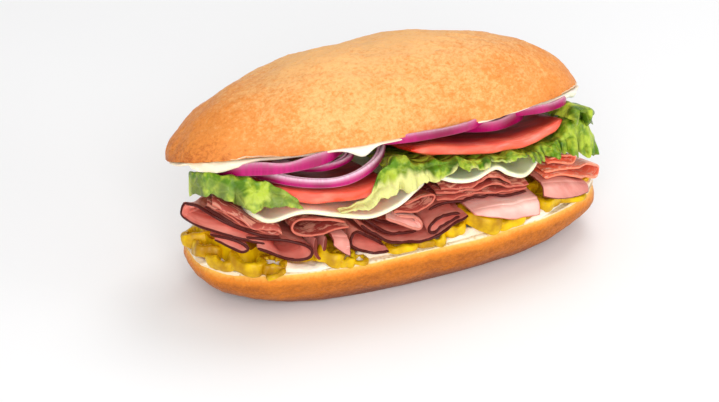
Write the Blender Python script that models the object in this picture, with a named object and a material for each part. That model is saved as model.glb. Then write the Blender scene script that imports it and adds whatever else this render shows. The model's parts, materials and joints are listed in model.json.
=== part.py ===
"""An italian sandwich on a long roll, seen from its open front.

Frame: +X along the roll, -Y is the open front, +Z up. The origin is the middle
of the flat underside of the lower half of the roll. Sizes are in millimetres
and turned into metres where a mesh is made.

The fillings stand on the lower half and form a wedge: tall at the open front,
pressed thin at the hinge side, with the upper half of the roll leaning back on
them. Every filling is drawn at its height above the cut face as it stands at
the front, and wedge_height presses it down towards the back, so pieces that
clear each other at the front clear each other all the way through.
"""
import math
import random

import bmesh
import bpy
from mathutils import Matrix, Vector

MM = 0.001

# The roll
HEEL_HALF_LENGTH = 104.5
HEEL_HALF_WIDTH = 42.5
HEEL_HEIGHT = 24.0
HEEL_SQUARENESS = 2.6
CROWN_HALF_LENGTH = 104.0
CROWN_HALF_WIDTH = 42.0
CROWN_HEIGHT = 39.5
CROWN_SQUARENESS = 2.3
CROWN_LEAN = math.radians(21.0)
CROWN_ROLL = math.radians(-0.6)
CROWN_SHIFT = Vector((-6.0, 6.0, HEEL_HEIGHT + 46.0))

# The wedge that the fillings make
BED = 4.0
MEAT_TOP = 36.0
MEAT_PRESS = 0.63
SALAD_PRESS = 0.47
FRONT_LEAN = 0.13
FILLING_HALF_LENGTH = 106.5
FILLING_HALF_WIDTH = 42.0
END_TUCK = 24.0
TUCK_START = 66.0

# Thickness of what is sliced
HAM_THICK = 1.6
CAPICOLA_THICK = 1.6
SALAMI_THICK = 1.3
CHEESE_THICK = 2.3
LEAF_THICK = 1.0
MAYO_THICK = 1.3

COLOURS = {
    "bun_crust": ((0.72, 0.39, 0.14), 0.5),
    "mayonnaise": ((0.86, 0.82, 0.70), 0.35),
    "banana_pepper": ((0.62, 0.48, 0.03), 0.25),
    "capicola": ((0.42, 0.13, 0.11), 0.4),
    "ham": ((0.80, 0.45, 0.42), 0.4),
    "salami": ((0.56, 0.17, 0.14), 0.4),
    "provolone": ((0.86, 0.78, 0.52), 0.45),
    "lettuce": ((0.40, 0.58, 0.10), 0.4),
    "tomato": ((0.80, 0.17, 0.10), 0.3),
    "red_onion": ((0.55, 0.10, 0.36), 0.3),
}


def curve_through(points, steps):
    """A smooth curve through the points, with this many steps between each two."""
    ends = [[2 * a - b for a, b in zip(points[0], points[1])],
            [2 * a - b for a, b in zip(points[-1], points[-2])]]
    run = [ends[0]] + [list(p) for p in points] + [ends[1]]
    out = []
    for i in range(1, len(run) - 2):
        p0, p1, p2, p3 = (Vector(run[k]) for k in (i - 1, i, i + 1, i + 2))
        for step in range(steps):
            t = step / steps
            out.append(0.5 * (2 * p1 + (p2 - p0) * t
                              + (2 * p0 - 5 * p1 + 4 * p2 - p3) * t * t
                              + (3 * p1 - p0 - 3 * p2 + p3) * t ** 3))
    out.append(Vector(points[-1]))
    return out


def eased(points, x):
    """The height at x of a line that passes level through each of the points."""
    if x <= points[0][0]:
        return points[0][1]
    for (xa, za), (xb, zb) in zip(points, points[1:]):
        if x <= xb:
            t = (x - xa) / (xb - xa)
            return za + (zb - za) * t * t * (3 - 2 * t)
    return points[-1][1]


def spread(first, last, count):
    """Evenly spaced values from first to last."""
    return [first + (last - first) * i / (count - 1) for i in range(count)]


def superellipse(angle, half_length, half_width, squareness):
    c, s = math.cos(angle), math.sin(angle)
    x = math.copysign(abs(c) ** (2 / squareness), c) * half_length
    y = math.copysign(abs(s) ** (2 / squareness), s) * half_width
    return x, y


def half_width(x):
    """Half the width of the fillings at x, rounded at the ends like the roll."""
    k = min(abs(x) / FILLING_HALF_LENGTH, 0.9999)
    curve = (1 - k ** HEEL_SQUARENESS) ** (1 / HEEL_SQUARENESS)
    return max(5.0, FILLING_HALF_WIDTH * curve) + 1.0


def wedge_height(y, level):
    """World height of a filling's level, pressed down towards the back."""
    back = (y + FILLING_HALF_WIDTH) / (2 * FILLING_HALF_WIDTH)
    if level <= BED:
        return HEEL_HEIGHT + level
    meat = min(level, MEAT_TOP) - BED
    salad = max(level - MEAT_TOP, 0.0)
    rise = meat * (1 - MEAT_PRESS * back) + salad * (1 - SALAD_PRESS * back)
    return HEEL_HEIGHT + BED + rise


def tucked(x, across):
    """Fillings turn in towards the middle behind the ends of the open front."""
    share = max(0.0, abs(x) - TUCK_START) / (FILLING_HALF_LENGTH - TUCK_START)
    return x - math.copysign(END_TUCK * share * (1 + across) / 2, x)


def in_wedge(x, across, level):
    """A point of a filling: across runs from -1 at the front to 1 at the back."""
    y = across * half_width(x) + FRONT_LEAN * level
    return Vector((tucked(x, across), y, wedge_height(y, level)))


def material(name):
    found = bpy.data.materials.get(name)
    if found:
        return found
    colour, rough = COLOURS[name]
    made = bpy.data.materials.new(name)
    made.use_nodes = True
    shader = made.node_tree.nodes["Principled BSDF"]
    shader.inputs["Base Color"].default_value = (*colour, 1.0)
    shader.inputs["Roughness"].default_value = rough
    shader.inputs["Metallic"].default_value = 0.0
    made.diffuse_color = (*colour, 1.0)
    return made


def add_object(name, bm, finish):
    """Turn a bmesh in millimetres into a named object with outward faces."""
    bmesh.ops.recalc_face_normals(bm, faces=bm.faces)
    bmesh.ops.scale(bm, vec=(MM, MM, MM), verts=bm.verts)
    mesh = bpy.data.meshes.new(name)
    bm.to_mesh(mesh)
    bm.free()
    mesh.materials.append(material(finish))
    mesh.shade_smooth()
    mesh.set_sharp_from_angle(angle=math.radians(50))
    made = bpy.data.objects.new(name, mesh)
    SANDWICH.objects.link(made)
    return made


def skin(bm, rings, closed):
    """Join rings of equal count; both halves of a ring are split alike."""
    rows = [[bm.verts.new(p) for p in ring] for ring in rings]
    count = len(rows[0])
    pairs = list(zip(rows, rows[1:]))
    if closed:
        pairs.append((rows[-1], rows[0]))
    for row, after in pairs:
        for k in range(count):
            a, b = row[k], row[(k + 1) % count]
            c, d = after[(k + 1) % count], after[k]
            if k < count // 2:
                bm.faces.new((a, b, c))
                bm.faces.new((a, c, d))
            else:
                bm.faces.new((a, b, d))
                bm.faces.new((b, c, d))
    return rows


def slab(name, sections, finish):
    """A sheet lofted through ribbon sections: upper side out, lower side back."""
    bm = bmesh.new()
    rows = skin(bm, sections, closed=False)
    count = len(sections[0])
    for row in (rows[0], rows[-1]):
        for k in range(count // 2 - 1):
            a, b, c, d = row[k], row[k + 1], row[count - 2 - k], row[count - 1 - k]
            bm.faces.new((a, b, c))
            bm.faces.new((a, c, d))
    return add_object(name, bm, finish)


def dome(name, rings, finish, place=None):
    """A solid of stacked rings, its first and last ring closed flat."""
    bm = bmesh.new()
    rows = skin(bm, rings, closed=False)
    for row in (rows[0], rows[-1]):
        bm.faces.new(row)
    if place:
        bmesh.ops.transform(bm, matrix=place, verts=bm.verts)
    return add_object(name, bm, finish)


def ribbon(path, thick):
    """The outline of a strip of this thickness along a flat path."""
    upper, lower = [], []
    for i, here in enumerate(path):
        run = path[min(i + 1, len(path) - 1)] - path[max(i - 1, 0)]
        side = Vector((-run.y, run.x)).normalized() * thick / 2
        upper.append(here + side)
        lower.append(here - side)
    return upper + lower[::-1]


# Lower half of the roll: a flat base, sides that swell out to a soft rim, and a
# cut face that sinks a little inside the crust.
def build_heel():
    around = [2 * math.pi * i / 44 for i in range(44)]
    rings = []
    for k in (0.0, 0.08, 0.2, 0.38, 0.6, 0.8, 0.93, 1.0):
        inset = 15.0 * (1 - min(k / 0.75, 1.0)) ** 2 + 0.9 * max(0.0, (k - 0.75) / 0.25) ** 2
        rings.append([(*superellipse(a, HEEL_HALF_LENGTH - 1.8 * inset,
                                     HEEL_HALF_WIDTH - 0.8 * inset, HEEL_SQUARENESS),
                       HEEL_HEIGHT * k) for a in around])
    for inset in (3.0, 9.0):
        rings.append([(*superellipse(a, HEEL_HALF_LENGTH - inset, HEEL_HALF_WIDTH - inset,
                                     HEEL_SQUARENESS), HEEL_HEIGHT) for a in around])
    return dome("bun_heel", rings, "bun_crust")


def crown_place():
    lean = Matrix.Rotation(-CROWN_LEAN, 4, "X")
    roll = Matrix.Rotation(-CROWN_ROLL, 4, "Y")
    return Matrix.Translation(CROWN_SHIFT) @ roll @ lean


# Upper half of the roll: a long loaf top, fuller across than at its ends, that
# leans back on the fillings.
def build_crown():
    around = [2 * math.pi * i / 44 for i in range(44)]
    rings = []
    for k in (0.0, 0.05, 0.14, 0.27, 0.42, 0.57, 0.71, 0.83, 0.92, 0.98):
        along = (1 - k ** 1.65) ** (1 / 2.2)
        across = (1 - k ** 2.1) ** (1 / 2.1)
        rings.append([(*superellipse(a, CROWN_HALF_LENGTH * along, CROWN_HALF_WIDTH * across,
                                     CROWN_SQUARENESS), CROWN_HEIGHT * k) for a in around])
    return dome("bun_crown", rings, "bun_crust", crown_place())


# Mayonnaise on both cut faces: a thin layer with a wandering edge, which hangs
# over the front edge of the upper half in places.
def build_mayo_heel():
    around = [2 * math.pi * i / 52 for i in range(52)]
    rings = []
    for inset, level in ((2.6, 0.3), (1.8, 0.9), (2.6, 1.5), (6.0, MAYO_THICK + 0.3)):
        ring = []
        for a in around:
            wander = 1.1 * math.sin(7 * a + 0.6) + 0.8 * math.sin(13 * a)
            x, y = superellipse(a, HEEL_HALF_LENGTH - inset - wander,
                                HEEL_HALF_WIDTH - inset - wander, HEEL_SQUARENESS)
            ring.append((x, y, HEEL_HEIGHT + level))
        rings.append(ring)
    return dome("mayo_heel", rings, "mayonnaise")


# Drips of mayonnaise at the front: place along the roll, half width, drop
DRIPS = ((-32.0, 12.0, 5.0), (-88.0, 20.0, 2.0), (87.0, 6.0, 2.6), (8.0, 9.0, 1.0))


def drip_at(x, y):
    if y > -15.0:
        return 0.0
    return sum(drop * math.exp(-((x - at) / half) ** 2) for at, half, drop in DRIPS)


def build_mayo_crown():
    around = [2 * math.pi * i / 52 for i in range(52)]
    rings = []
    for inset, share, fixed in ((3.0, 0.0, 0.3), (0.8, 0.35, 0.7), (1.6, 1.0, 1.5),
                                (4.0, 0.9, 1.6), (7.0, 0.0, 1.6)):
        ring = []
        for a in around:
            wander = 0.9 * math.sin(5 * a + 1.0) + 0.6 * math.sin(11 * a)
            x, y = superellipse(a, CROWN_HALF_LENGTH - inset - wander,
                                CROWN_HALF_WIDTH - inset - wander, CROWN_SQUARENESS)
            drop = drip_at(x + CROWN_SHIFT.x, y)
            bulge = 0.35 * drop if share else 0.0
            ring.append((x, y - bulge, -fixed - share * drop))
        rings.append(ring)
    return dome("mayo_crown", rings, "mayonnaise", crown_place())


# Folded slices of meat. Each is one slice seen on its cut edge: the way its edge
# runs along the front, as (x, height above the cut face).
SLICES = {
    "capicola_1": ((-83.0, 19.8), (-92.0, 26.5), (-99.0, 34.0), (-103.0, 37.4),
                   (-105.4, 33.5), (-105.1, 28.8), (-102.0, 27.0)),
    "capicola_2": ((-99.5, 24.2), (-93.0, 22.0), (-88.0, 18.8), (-87.3, 15.6),
                   (-90.5, 14.6), (-95.0, 18.0), (-99.5, 20.5)),
    "capicola_3": ((-79.5, 18.6), (-70.0, 19.3), (-62.0, 16.5), (-58.5, 11.5),
                   (-61.5, 7.0), (-70.0, 8.6), (-80.0, 15.0)),
    "capicola_4": ((-22.5, 5.0), (-32.0, 5.1), (-39.0, 9.0), (-40.3, 14.5),
                   (-36.5, 17.0), (-30.0, 12.2), (-24.0, 7.4)),
    "capicola_5": ((-34.5, 19.6), (-28.0, 13.6), (-20.5, 8.6), (-10.0, 5.6),
                   (0.0, 5.6), (10.5, 9.6), (20.0, 12.0)),
    "capicola_6": ((-31.0, 20.2), (-24.0, 14.0), (-15.0, 10.2), (-6.0, 8.8)),
    "capicola_7": ((-27.8, 20.6), (-22.0, 16.7), (-13.5, 13.4)),
    "capicola_8": ((-101.0, 39.0), (-93.0, 31.0), (-87.0, 26.0), (-81.5, 23.2)),
    "capicola_9": ((15.0, 15.0), (6.5, 15.3), (0.0, 13.8), (-1.6, 10.5), (1.2, 8.4),
                   (7.0, 11.0), (15.0, 12.9)),
    "capicola_10": ((0.5, 19.0), (12.0, 20.2), (24.0, 20.0), (40.0, 17.2), (52.0, 16.2)),
    "ham_1": ((-56.6, 17.2), (-56.8, 12.0), (-55.6, 7.2), (-53.4, 6.6), (-52.2, 10.6),
              (-51.4, 16.8)),
    "ham_3": ((-22.0, 20.2), (-14.0, 15.8), (-6.0, 11.4), (-3.9, 13.6), (-8.0, 18.0),
              (-16.0, 20.5)),
    "salami_1": ((-100.5, 42.0), (-92.0, 34.3), (-82.0, 26.4), (-71.5, 22.8)),
    "salami_2": ((-98.5, 44.8), (-90.0, 36.6), (-81.5, 28.9), (-71.0, 25.2)),
    "salami_3": ((-41.0, 20.9), (-54.0, 19.0), (-62.5, 19.2), (-66.3, 23.2),
                 (-63.5, 27.8), (-54.0, 27.4), (-42.0, 23.2)),
    "salami_4": ((-18.0, 22.8), (-8.0, 21.3), (0.0, 22.8), (2.6, 26.8), (-2.0, 29.2),
                 (-12.0, 25.8)),
    "salami_5": ((7.0, 31.0), (15.0, 28.8), (28.0, 29.0), (35.0, 30.2), (40.0, 27.4),
                 (45.0, 23.6)),
    "salami_6": ((5.0, 28.2), (15.0, 26.0), (28.0, 25.6), (37.0, 25.0), (44.0, 21.5),
                 (54.0, 20.9)),
    "salami_7": ((4.5, 25.0), (15.0, 23.4), (28.0, 22.9), (40.0, 19.9), (53.0, 18.8)),
    "salami_8": ((62.0, 25.0), (75.0, 22.4), (90.0, 19.0), (100.0, 12.5), (103.0, 7.5),
                 (97.0, 7.4), (87.0, 13.4), (75.0, 19.0), (62.0, 22.0)),
    "salami_9": ((66.0, 30.2), (75.0, 29.2), (82.6, 26.2), (79.5, 24.0), (66.0, 26.9)),
}
SLICE_THICK = {"capicola": CAPICOLA_THICK, "ham": HAM_THICK, "salami": SALAMI_THICK}


# Where slices are drawn across the roll; the fold at the left end stops half way
ALL_THROUGH = (-1.0, 0.0, 1.0)
HALF_WAY = (-1.0, -0.7, -0.4, -0.1)
END_FOLDS = ("capicola_1",)


def build_slice(name):
    kind = name.split("_")[0]
    edge = ribbon(curve_through(SLICES[name], 3), SLICE_THICK[kind])
    stations = HALF_WAY if name in END_FOLDS else ALL_THROUGH
    sections = [[in_wedge(x, across, level) for x, level in edge] for across in stations]
    return slab(name, sections, kind)


# Slices of ham whose front edge hangs down over the peppers: level of the fold
# and of the hanging edge, from left to right.
HANGING_HAM = {
    "ham_2": (((-49.8, 18.0), (-46.0, 17.4), (-42.0, 16.6)),
              ((-49.8, 14.2), (-46.0, 10.2), (-42.0, 7.4))),
    "ham_4": (((20.5, 15.2), (30.0, 15.6), (45.0, 14.2), (56.5, 13.6)),
              ((20.5, 14.6), (31.0, 10.8), (42.0, 7.6), (56.5, 5.4))),
    "ham_5": (((59.0, 19.8), (66.0, 19.0), (75.0, 16.2), (88.0, 9.6)),
              ((59.0, 13.6), (66.0, 10.6), (75.0, 7.6), (88.0, 5.0))),
}


def build_hanging_ham(name):
    fold, hem = HANGING_HAM[name]
    sections = []
    for x in spread(fold[0][0], fold[-1][0], 9):
        top, low = eased(fold, x), eased(hem, x)
        path = [Vector(p) for p in ((34.0, top), (0.0, top), (-38.0, top), (-43.5, top - 0.4),
                                    (-45.4, top - 2.0), (-45.6, low))]
        if top - low < 3.0:
            path[-2].y = (top + low) / 2
        outline = ribbon(path, HAM_THICK)
        sections.append([in_wedge(x, s / FILLING_HALF_WIDTH, level) for s, level in outline])
    return slab(name, sections, "ham")


# Two slices of provolone laid over the meat: the line of the underside along
# the front, which sags between the folds.
PROVOLONE = {
    "provolone_1": ((-86.0, 34.6), (-81.0, 30.4), (-75.0, 28.0), (-61.5, 31.0), (-46.0, 27.2),
                    (-30.0, 22.6), (-17.0, 25.4), (-6.0, 31.2), (3.5, 32.2)),
    "provolone_2": ((1.0, 35.8), (5.0, 35.2), (13.0, 31.8), (23.0, 30.6), (34.7, 33.4),
                    (42.0, 28.6), (50.5, 25.6), (60.5, 30.2), (64.5, 31.6)),
}


def build_provolone(name):
    under = PROVOLONE[name]
    first, last = under[0][0], under[-1][0]
    sections = []
    for x in spread(first, last, 24):
        u = abs(2 * (x - first) / (last - first) - 1)
        reach = max(0.25, (1 - u ** 6) ** (1 / 6)) * 1.02
        level = eased(under, x)
        sections.append([in_wedge(x, side * reach, level + CHEESE_THICK) for side in (-1, 0, 1)]
                        + [in_wedge(x, side * reach, level) for side in (1, 0, -1)])
    return slab(name, sections, "provolone")


# Slices of tomato, cut across and once more along the front: the line of the
# underside, and the thickness.
TOMATO = {
    "tomato_1": (((-76.0, 41.0), (-62.0, 35.4), (-51.0, 32.6), (-34.0, 31.0), (-22.0, 32.2)),
                 9.0),
    "tomato_2": (((-7.0, 48.4), (2.5, 46.4), (22.0, 42.4), (38.0, 40.3), (54.0, 40.0),
                  (68.0, 42.0), (75.0, 45.5)), 7.6),
}


def build_tomato(name):
    under, thick = TOMATO[name]
    first, last = under[0][0], under[-1][0]
    sections = []
    for i in range(15):
        turn = math.pi * i / 14
        x = (first + last) / 2 - (last - first) / 2 * math.cos(turn)
        bow = max(0.12, math.sin(turn))
        half = thick / 2 * max(0.35, min(1.0, 2.2 * math.sin(turn)))
        middle = eased(under, x) + thick / 2
        front, back = -0.90 - 0.10 * bow ** 0.5, -0.90 + 1.75 * bow
        section = []
        for across, side in ((front + 0.03, 1), (back - 0.06, 1), (back, 0.4), (back, -0.4),
                             (back - 0.06, -1), (front + 0.03, -1), (front, -0.5), (front, 0.5)):
            section.append(in_wedge(x, across, middle + side * half))
        sections.append(section)
    return slab(name, sections, "tomato")


# Rings of red onion: centre (x, y), outer radius, level of the underside, how
# much the ring lifts towards its ends, height of the ring.
ONION_WALL = 4.2
ONIONS = {
    "onion_1": ((-45.0, -4.0), 35.5, 43.2, 9.5, 4.6),
    "onion_2": ((-62.0, -5.0), 31.0, 54.8, 0.6, 4.8),
    "onion_3": ((-43.0, -3.0), 19.0, 47.6, 3.0, 4.0),
    "onion_4": ((6.5, -3.5), 35.5, 57.2, 0.3, 3.4),
    "onion_5": ((41.8, -5.7), 21.5, 51.4, 1.6, 3.8),
    "onion_6": ((64.4, -8.4), 19.8, 56.1, 0.6, 3.6),
}


def build_onion(name):
    (cx, cy), radius, level, lift, height = ONIONS[name]
    bm = bmesh.new()
    rings = []
    for i in range(22):
        turn = 2 * math.pi * i / 22
        ring = []
        for out, up in ((0.0, 0.25), (0.0, 0.75), (-0.3, 1.0), (-0.9, 1.0), (-0.9, 0.0),
                        (-0.3, 0.0)):
            r = radius + out * ONION_WALL
            x, y = cx + r * math.cos(turn), cy + r * math.sin(turn)
            here = level + lift * math.cos(turn) ** 2 + up * height
            ring.append((x, y, wedge_height(y, here)))
        rings.append(ring)
    skin(bm, rings, closed=True)
    return add_object(name, bm, "red_onion")


# Leaves of lettuce: lines of the top of the fold and of the frilled edge that
# hangs at the front, how far back each reaches, how strongly it ruffles, and
# the level that its hidden part keeps under.
LEAF_STEP = 3.8
FRILL_STEP = 6.0
CORNER_START = -96.0
CORNER_TUCK = 0.1
LETTUCE = {
    "lettuce_1": (((-105.5, 59.0), (-98.0, 57.6), (-89.0, 55.2), (-78.0, 51.2), (-64.0, 40.5)),
                  ((-105.5, 42.5), (-99.0, 45.6), (-93.0, 43.4), (-86.0, 37.2), (-72.0, 37.0),
                   (-64.0, 37.0)),
                  ((-105.5, 0.6), (-86.0, 0.6), (-78.5, -1.03), (-64.0, -1.03)), 1.0, 51.0),
    "lettuce_2": (((-28.0, 39.6), (-20.0, 49.6), (-12.0, 50.8), (-8.0, 46.2), (4.0, 44.6),
                   (22.0, 41.4), (38.0, 39.4), (50.0, 38.8)),
                  ((-28.0, 36.8), (-24.0, 33.6), (-16.0, 34.6), (2.0, 36.4), (13.0, 38.4),
                   (28.0, 38.2), (50.0, 37.0)),
                  ((-28.0, -1.03), (-20.0, -1.03), (-15.0, 0.5), (50.0, 0.7)), 0.3, 46.8),
    "lettuce_3": (((52.0, 37.4), (62.0, 38.6), (72.0, 40.5), (79.0, 48.5), (88.0, 46.5),
                   (96.0, 33.0)),
                  ((52.0, 35.0), (60.0, 33.8), (70.0, 32.6), (80.0, 29.5), (96.0, 22.5)),
                  ((52.0, 0.6), (72.0, 0.6), (96.0, 0.4)), 0.7, 60.0),
}
# The frilled end of a leaf that stands up at the right, and a leaf that closes
# the back: top, lower edge, and where the leaf starts and hangs across the roll.
FRILLS = {
    "lettuce_4": (((76.0, 52.0), (81.0, 56.0), (87.0, 55.8), (92.5, 51.0)),
                  ((76.0, 48.2), (81.0, 47.0), (86.0, 45.5), (92.5, 42.0)), (-0.5, -1.12), 1.5),
    "lettuce_5": (((-84.0, 57.4), (-50.0, 58.6), (0.0, 58.6), (50.0, 58.6), (84.0, 57.4)),
                  ((-84.0, 44.0), (-60.0, 37.0), (-20.0, 42.0), (30.0, 37.0), (62.0, 41.0),
                   (84.0, 38.0)), (0.80, 1.08), 1.2),
}


def leaf_section(x, line, thick):
    """The outline of a leaf at x, its line given as (depth in mm, level) points."""
    outline = ribbon([Vector(p) for p in line], thick)
    return [in_wedge(x, s / FILLING_HALF_WIDTH, level) for s, level in outline]


def build_lettuce(name):
    crest, hem, reach, frill, ceiling = LETTUCE[name]
    first, last = crest[0][0], crest[-1][0]
    sections = []
    for x in spread(first, last, int((last - first) / LEAF_STEP)):
        top, low = eased(crest, x), eased(hem, x)
        inner = min(top, ceiling)
        back = eased(reach, x) * FILLING_HALF_WIDTH
        wave = frill * math.sin(0.62 * x)
        front = CORNER_TUCK * max(0.0, CORNER_START - x) ** 2 - 43.6
        run = front - back
        line = ((back, inner - 0.6), (back + 0.6 * run, inner - 0.2), (back + 0.95 * run, top),
                (front - 0.3, top - 0.3 * (top - low)),
                (front - 2.6 + wave, top - 0.65 * (top - low)),
                (front - 3.4 + 1.6 * wave, low))
        sections.append(leaf_section(x, line, LEAF_THICK))
    return slab(name, sections, "lettuce")


def build_frill(name):
    crest, hem, (start, end), frill = FRILLS[name]
    sections = []
    first, last = crest[0][0], crest[-1][0]
    for x in spread(first, last, int((last - first) / FRILL_STEP) + 5):
        top, low = eased(crest, x), eased(hem, x)
        wave = frill * math.sin(0.7 * x)
        inner, outer = start * FILLING_HALF_WIDTH, end * FILLING_HALF_WIDTH
        line = ((inner, top - 0.4), (0.5 * (inner + outer), top),
                (outer, top - 0.25 * (top - low)), (outer + wave, top - 0.6 * (top - low)),
                (outer - 0.6 * wave, low))
        sections.append(leaf_section(x, line, LEAF_THICK))
    return slab(name, sections, "lettuce")


# Banana pepper rings in one heap on the lower mayonnaise: a thin core under the
# meat, with the rings that show fused on. The heap's top line follows the folds.
HEAP_TOP = ((-98.0, 14.0), (-90.0, 12.2), (-84.0, 11.0), (-72.0, 6.2), (-58.0, 4.8),
            (-46.0, 6.5), (-40.0, 4.4), (-34.0, 3.7), (-8.0, 4.0), (4.0, 4.2),
            (14.0, 8.0), (22.0, 6.6), (56.0, 4.6), (60.0, 7.0), (88.0, 5.0), (98.0, 4.4))
PEPPER_WALL = 2.6
# Each ring: x, y, level of its middle, radius, half height, lean towards the
# front and to the side in degrees
PEPPERS = (
    (-96.0, -16.5, 7.2, 8.5, 2.4, 16.0, -8.0),
    (-87.0, -26.0, 6.2, 9.0, 2.4, 12.0, 6.0),
    (-76.0, -32.5, 4.1, 8.8, 1.9, 4.0, 0.0),
    (-67.5, -37.0, 3.9, 5.5, 1.2, 10.0, 6.0),
    (-46.0, -38.5, 4.8, 5.4, 2.2, 14.0, 8.0),
    (-42.0, -36.5, 2.7, 7.0, 1.0, 2.0, 0.0),
    (-13.0, -35.5, 3.0, 8.0, 1.1, 0.0, 0.0),
    (-2.0, -37.0, 3.0, 5.5, 1.0, 0.0, 0.0),
    (13.0, -36.0, 5.0, 6.0, 1.8, 10.0, 0.0),
    (30.0, -33.0, 5.9, 10.5, 2.6, 11.0, -4.0),
    (43.0, -34.0, 4.6, 9.0, 1.8, 8.0, 4.0),
    (66.0, -27.5, 6.0, 9.0, 2.2, 12.0, 6.0),
    (80.0, -25.0, 3.7, 9.5, 1.2, 3.0, 3.0),
)
BACK_PEPPERS = 4
RING_SIDES = 9


def pepper_ring(bm, x, y, level, radius, half, lean, side):
    """One cut ring of pepper, a little out of round."""
    rings = []
    place = (Matrix.Translation((x, y, HEEL_HEIGHT + level))
             @ Matrix.Rotation(math.radians(lean), 4, "X")
             @ Matrix.Rotation(math.radians(side), 4, "Y"))
    for i in range(RING_SIDES):
        turn = 2 * math.pi * i / RING_SIDES
        r = radius * (1 + 0.06 * math.sin(2 * turn + x) + 0.04 * math.sin(3 * turn))
        ring = []
        for out, up in ((0.0, -0.7), (0.0, 0.7), (-0.5, 1.0), (-1.0, 0.0), (-0.5, -1.0)):
            point = Vector(((r + out * PEPPER_WALL) * math.cos(turn),
                            (r + out * PEPPER_WALL) * math.sin(turn), up * half))
            ring.append(place @ point)
        rings.append(ring)
    skin(bm, rings, closed=True)


def scatter_back_peppers():
    """Rings along the back edge, spread evenly with a little disorder."""
    draw = random.Random(11)
    rings = []
    for x in spread(-84.0, 82.0, BACK_PEPPERS):
        here = x + draw.uniform(-4.0, 4.0)
        y = half_width(here) - draw.uniform(5.0, 8.0)
        rings.append((here, y, 2.8, draw.uniform(6.5, 9.0), 0.85, 0.0, 0.0))
    return rings


def build_pepper_heap():
    sections = []
    for x in spread(HEAP_TOP[0][0], HEAP_TOP[-1][0], 24):
        top = eased(HEAP_TOP, x)
        wide = half_width(x) - 7.0
        sections.append([Vector((x, -wide, wedge_height(-wide, top))),
                         Vector((x, wide, wedge_height(wide, top))),
                         Vector((x, wide, HEEL_HEIGHT + 1.95)),
                         Vector((x, -wide, HEEL_HEIGHT + 1.95))])
    core = slab("pepper_rings", sections, "banana_pepper")
    rings = bpy.data.collections.new("pepper_cutters")
    bpy.context.scene.collection.children.link(rings)
    for i, ring in enumerate(list(PEPPERS) + scatter_back_peppers()):
        bm = bmesh.new()
        pepper_ring(bm, *ring)
        made = add_object(f"loose_ring_{i}", bm, "banana_pepper")
        SANDWICH.objects.unlink(made)
        rings.objects.link(made)
    join = core.modifiers.new("fuse", "BOOLEAN")
    join.operation = "UNION"
    join.operand_type = "COLLECTION"
    join.collection = rings
    join.solver = "EXACT"
    bpy.context.view_layer.update()
    fused = bpy.data.meshes.new_from_object(
        core.evaluated_get(bpy.context.evaluated_depsgraph_get()))
    core.modifiers.clear()
    core.data = fused
    for made in list(rings.objects):
        bpy.data.objects.remove(made)
    bpy.data.collections.remove(rings)
    return core


for old in list(bpy.data.objects):
    bpy.data.objects.remove(old)
SANDWICH = bpy.data.collections.new("italian_sandwich")
bpy.context.scene.collection.children.link(SANDWICH)

build_heel()
build_crown()
build_mayo_heel()
build_mayo_crown()
build_pepper_heap()
for slice_name in SLICES:
    build_slice(slice_name)
for ham_name in HANGING_HAM:
    build_hanging_ham(ham_name)
for cheese_name in PROVOLONE:
    build_provolone(cheese_name)
for tomato_name in TOMATO:
    build_tomato(tomato_name)
for onion_name in ONIONS:
    build_onion(onion_name)
for leaf_name in LETTUCE:
    build_lettuce(leaf_name)
for leaf_name in FRILLS:
    build_frill(leaf_name)
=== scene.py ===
"""The looks of an italian sandwich: a long roll with folded meats, cheese and salad."""
import json
import math

import bpy
import numpy as np
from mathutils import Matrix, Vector

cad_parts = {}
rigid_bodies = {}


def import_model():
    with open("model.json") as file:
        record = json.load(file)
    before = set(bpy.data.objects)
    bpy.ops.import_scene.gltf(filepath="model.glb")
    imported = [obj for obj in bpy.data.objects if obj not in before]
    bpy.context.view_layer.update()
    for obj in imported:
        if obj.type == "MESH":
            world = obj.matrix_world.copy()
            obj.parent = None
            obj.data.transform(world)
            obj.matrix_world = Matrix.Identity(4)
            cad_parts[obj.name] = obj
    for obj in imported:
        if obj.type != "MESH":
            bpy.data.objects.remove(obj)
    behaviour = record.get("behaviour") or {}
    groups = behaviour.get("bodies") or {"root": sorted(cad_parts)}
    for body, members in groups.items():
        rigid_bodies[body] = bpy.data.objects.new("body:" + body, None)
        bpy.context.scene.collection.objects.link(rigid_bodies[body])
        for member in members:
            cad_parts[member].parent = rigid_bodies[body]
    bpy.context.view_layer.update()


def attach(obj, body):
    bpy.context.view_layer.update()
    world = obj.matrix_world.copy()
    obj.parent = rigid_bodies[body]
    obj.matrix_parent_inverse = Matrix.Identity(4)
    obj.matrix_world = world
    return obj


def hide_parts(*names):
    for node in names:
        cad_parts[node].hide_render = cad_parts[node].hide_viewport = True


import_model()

# Camera. The sandwich is seen from the front left through a long lens, from
# about 30 degrees above the table.
CAMERA_TURN = math.radians(-24.0)
CAMERA_RISE = math.radians(29.8)
CAMERA_DISTANCE = 1.0472
CAMERA_AIM = Vector((-0.018, 0.0, 0.032))
SENSOR_WIDTH = 36.0
LENS = 110.15

toward_camera = Vector((math.sin(CAMERA_TURN) * math.cos(CAMERA_RISE),
                        -math.cos(CAMERA_TURN) * math.cos(CAMERA_RISE),
                        math.sin(CAMERA_RISE)))
camera_data = bpy.data.cameras.new("camera")
camera_data.sensor_width = SENSOR_WIDTH
camera_data.lens = LENS
camera = bpy.data.objects.new("camera", camera_data)
camera.location = CAMERA_AIM + toward_camera * CAMERA_DISTANCE
camera.rotation_euler = (-toward_camera).to_track_quat("-Z", "Y").to_euler()
bpy.context.scene.collection.objects.link(camera)
bpy.context.scene.camera = camera

# Table top. A plain pale sheet, wide enough to fill the frame from any side.
FLOOR_SIZE = 6.0
FLOOR_COLOUR = (0.95, 0.95, 0.955, 1.0)


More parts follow.
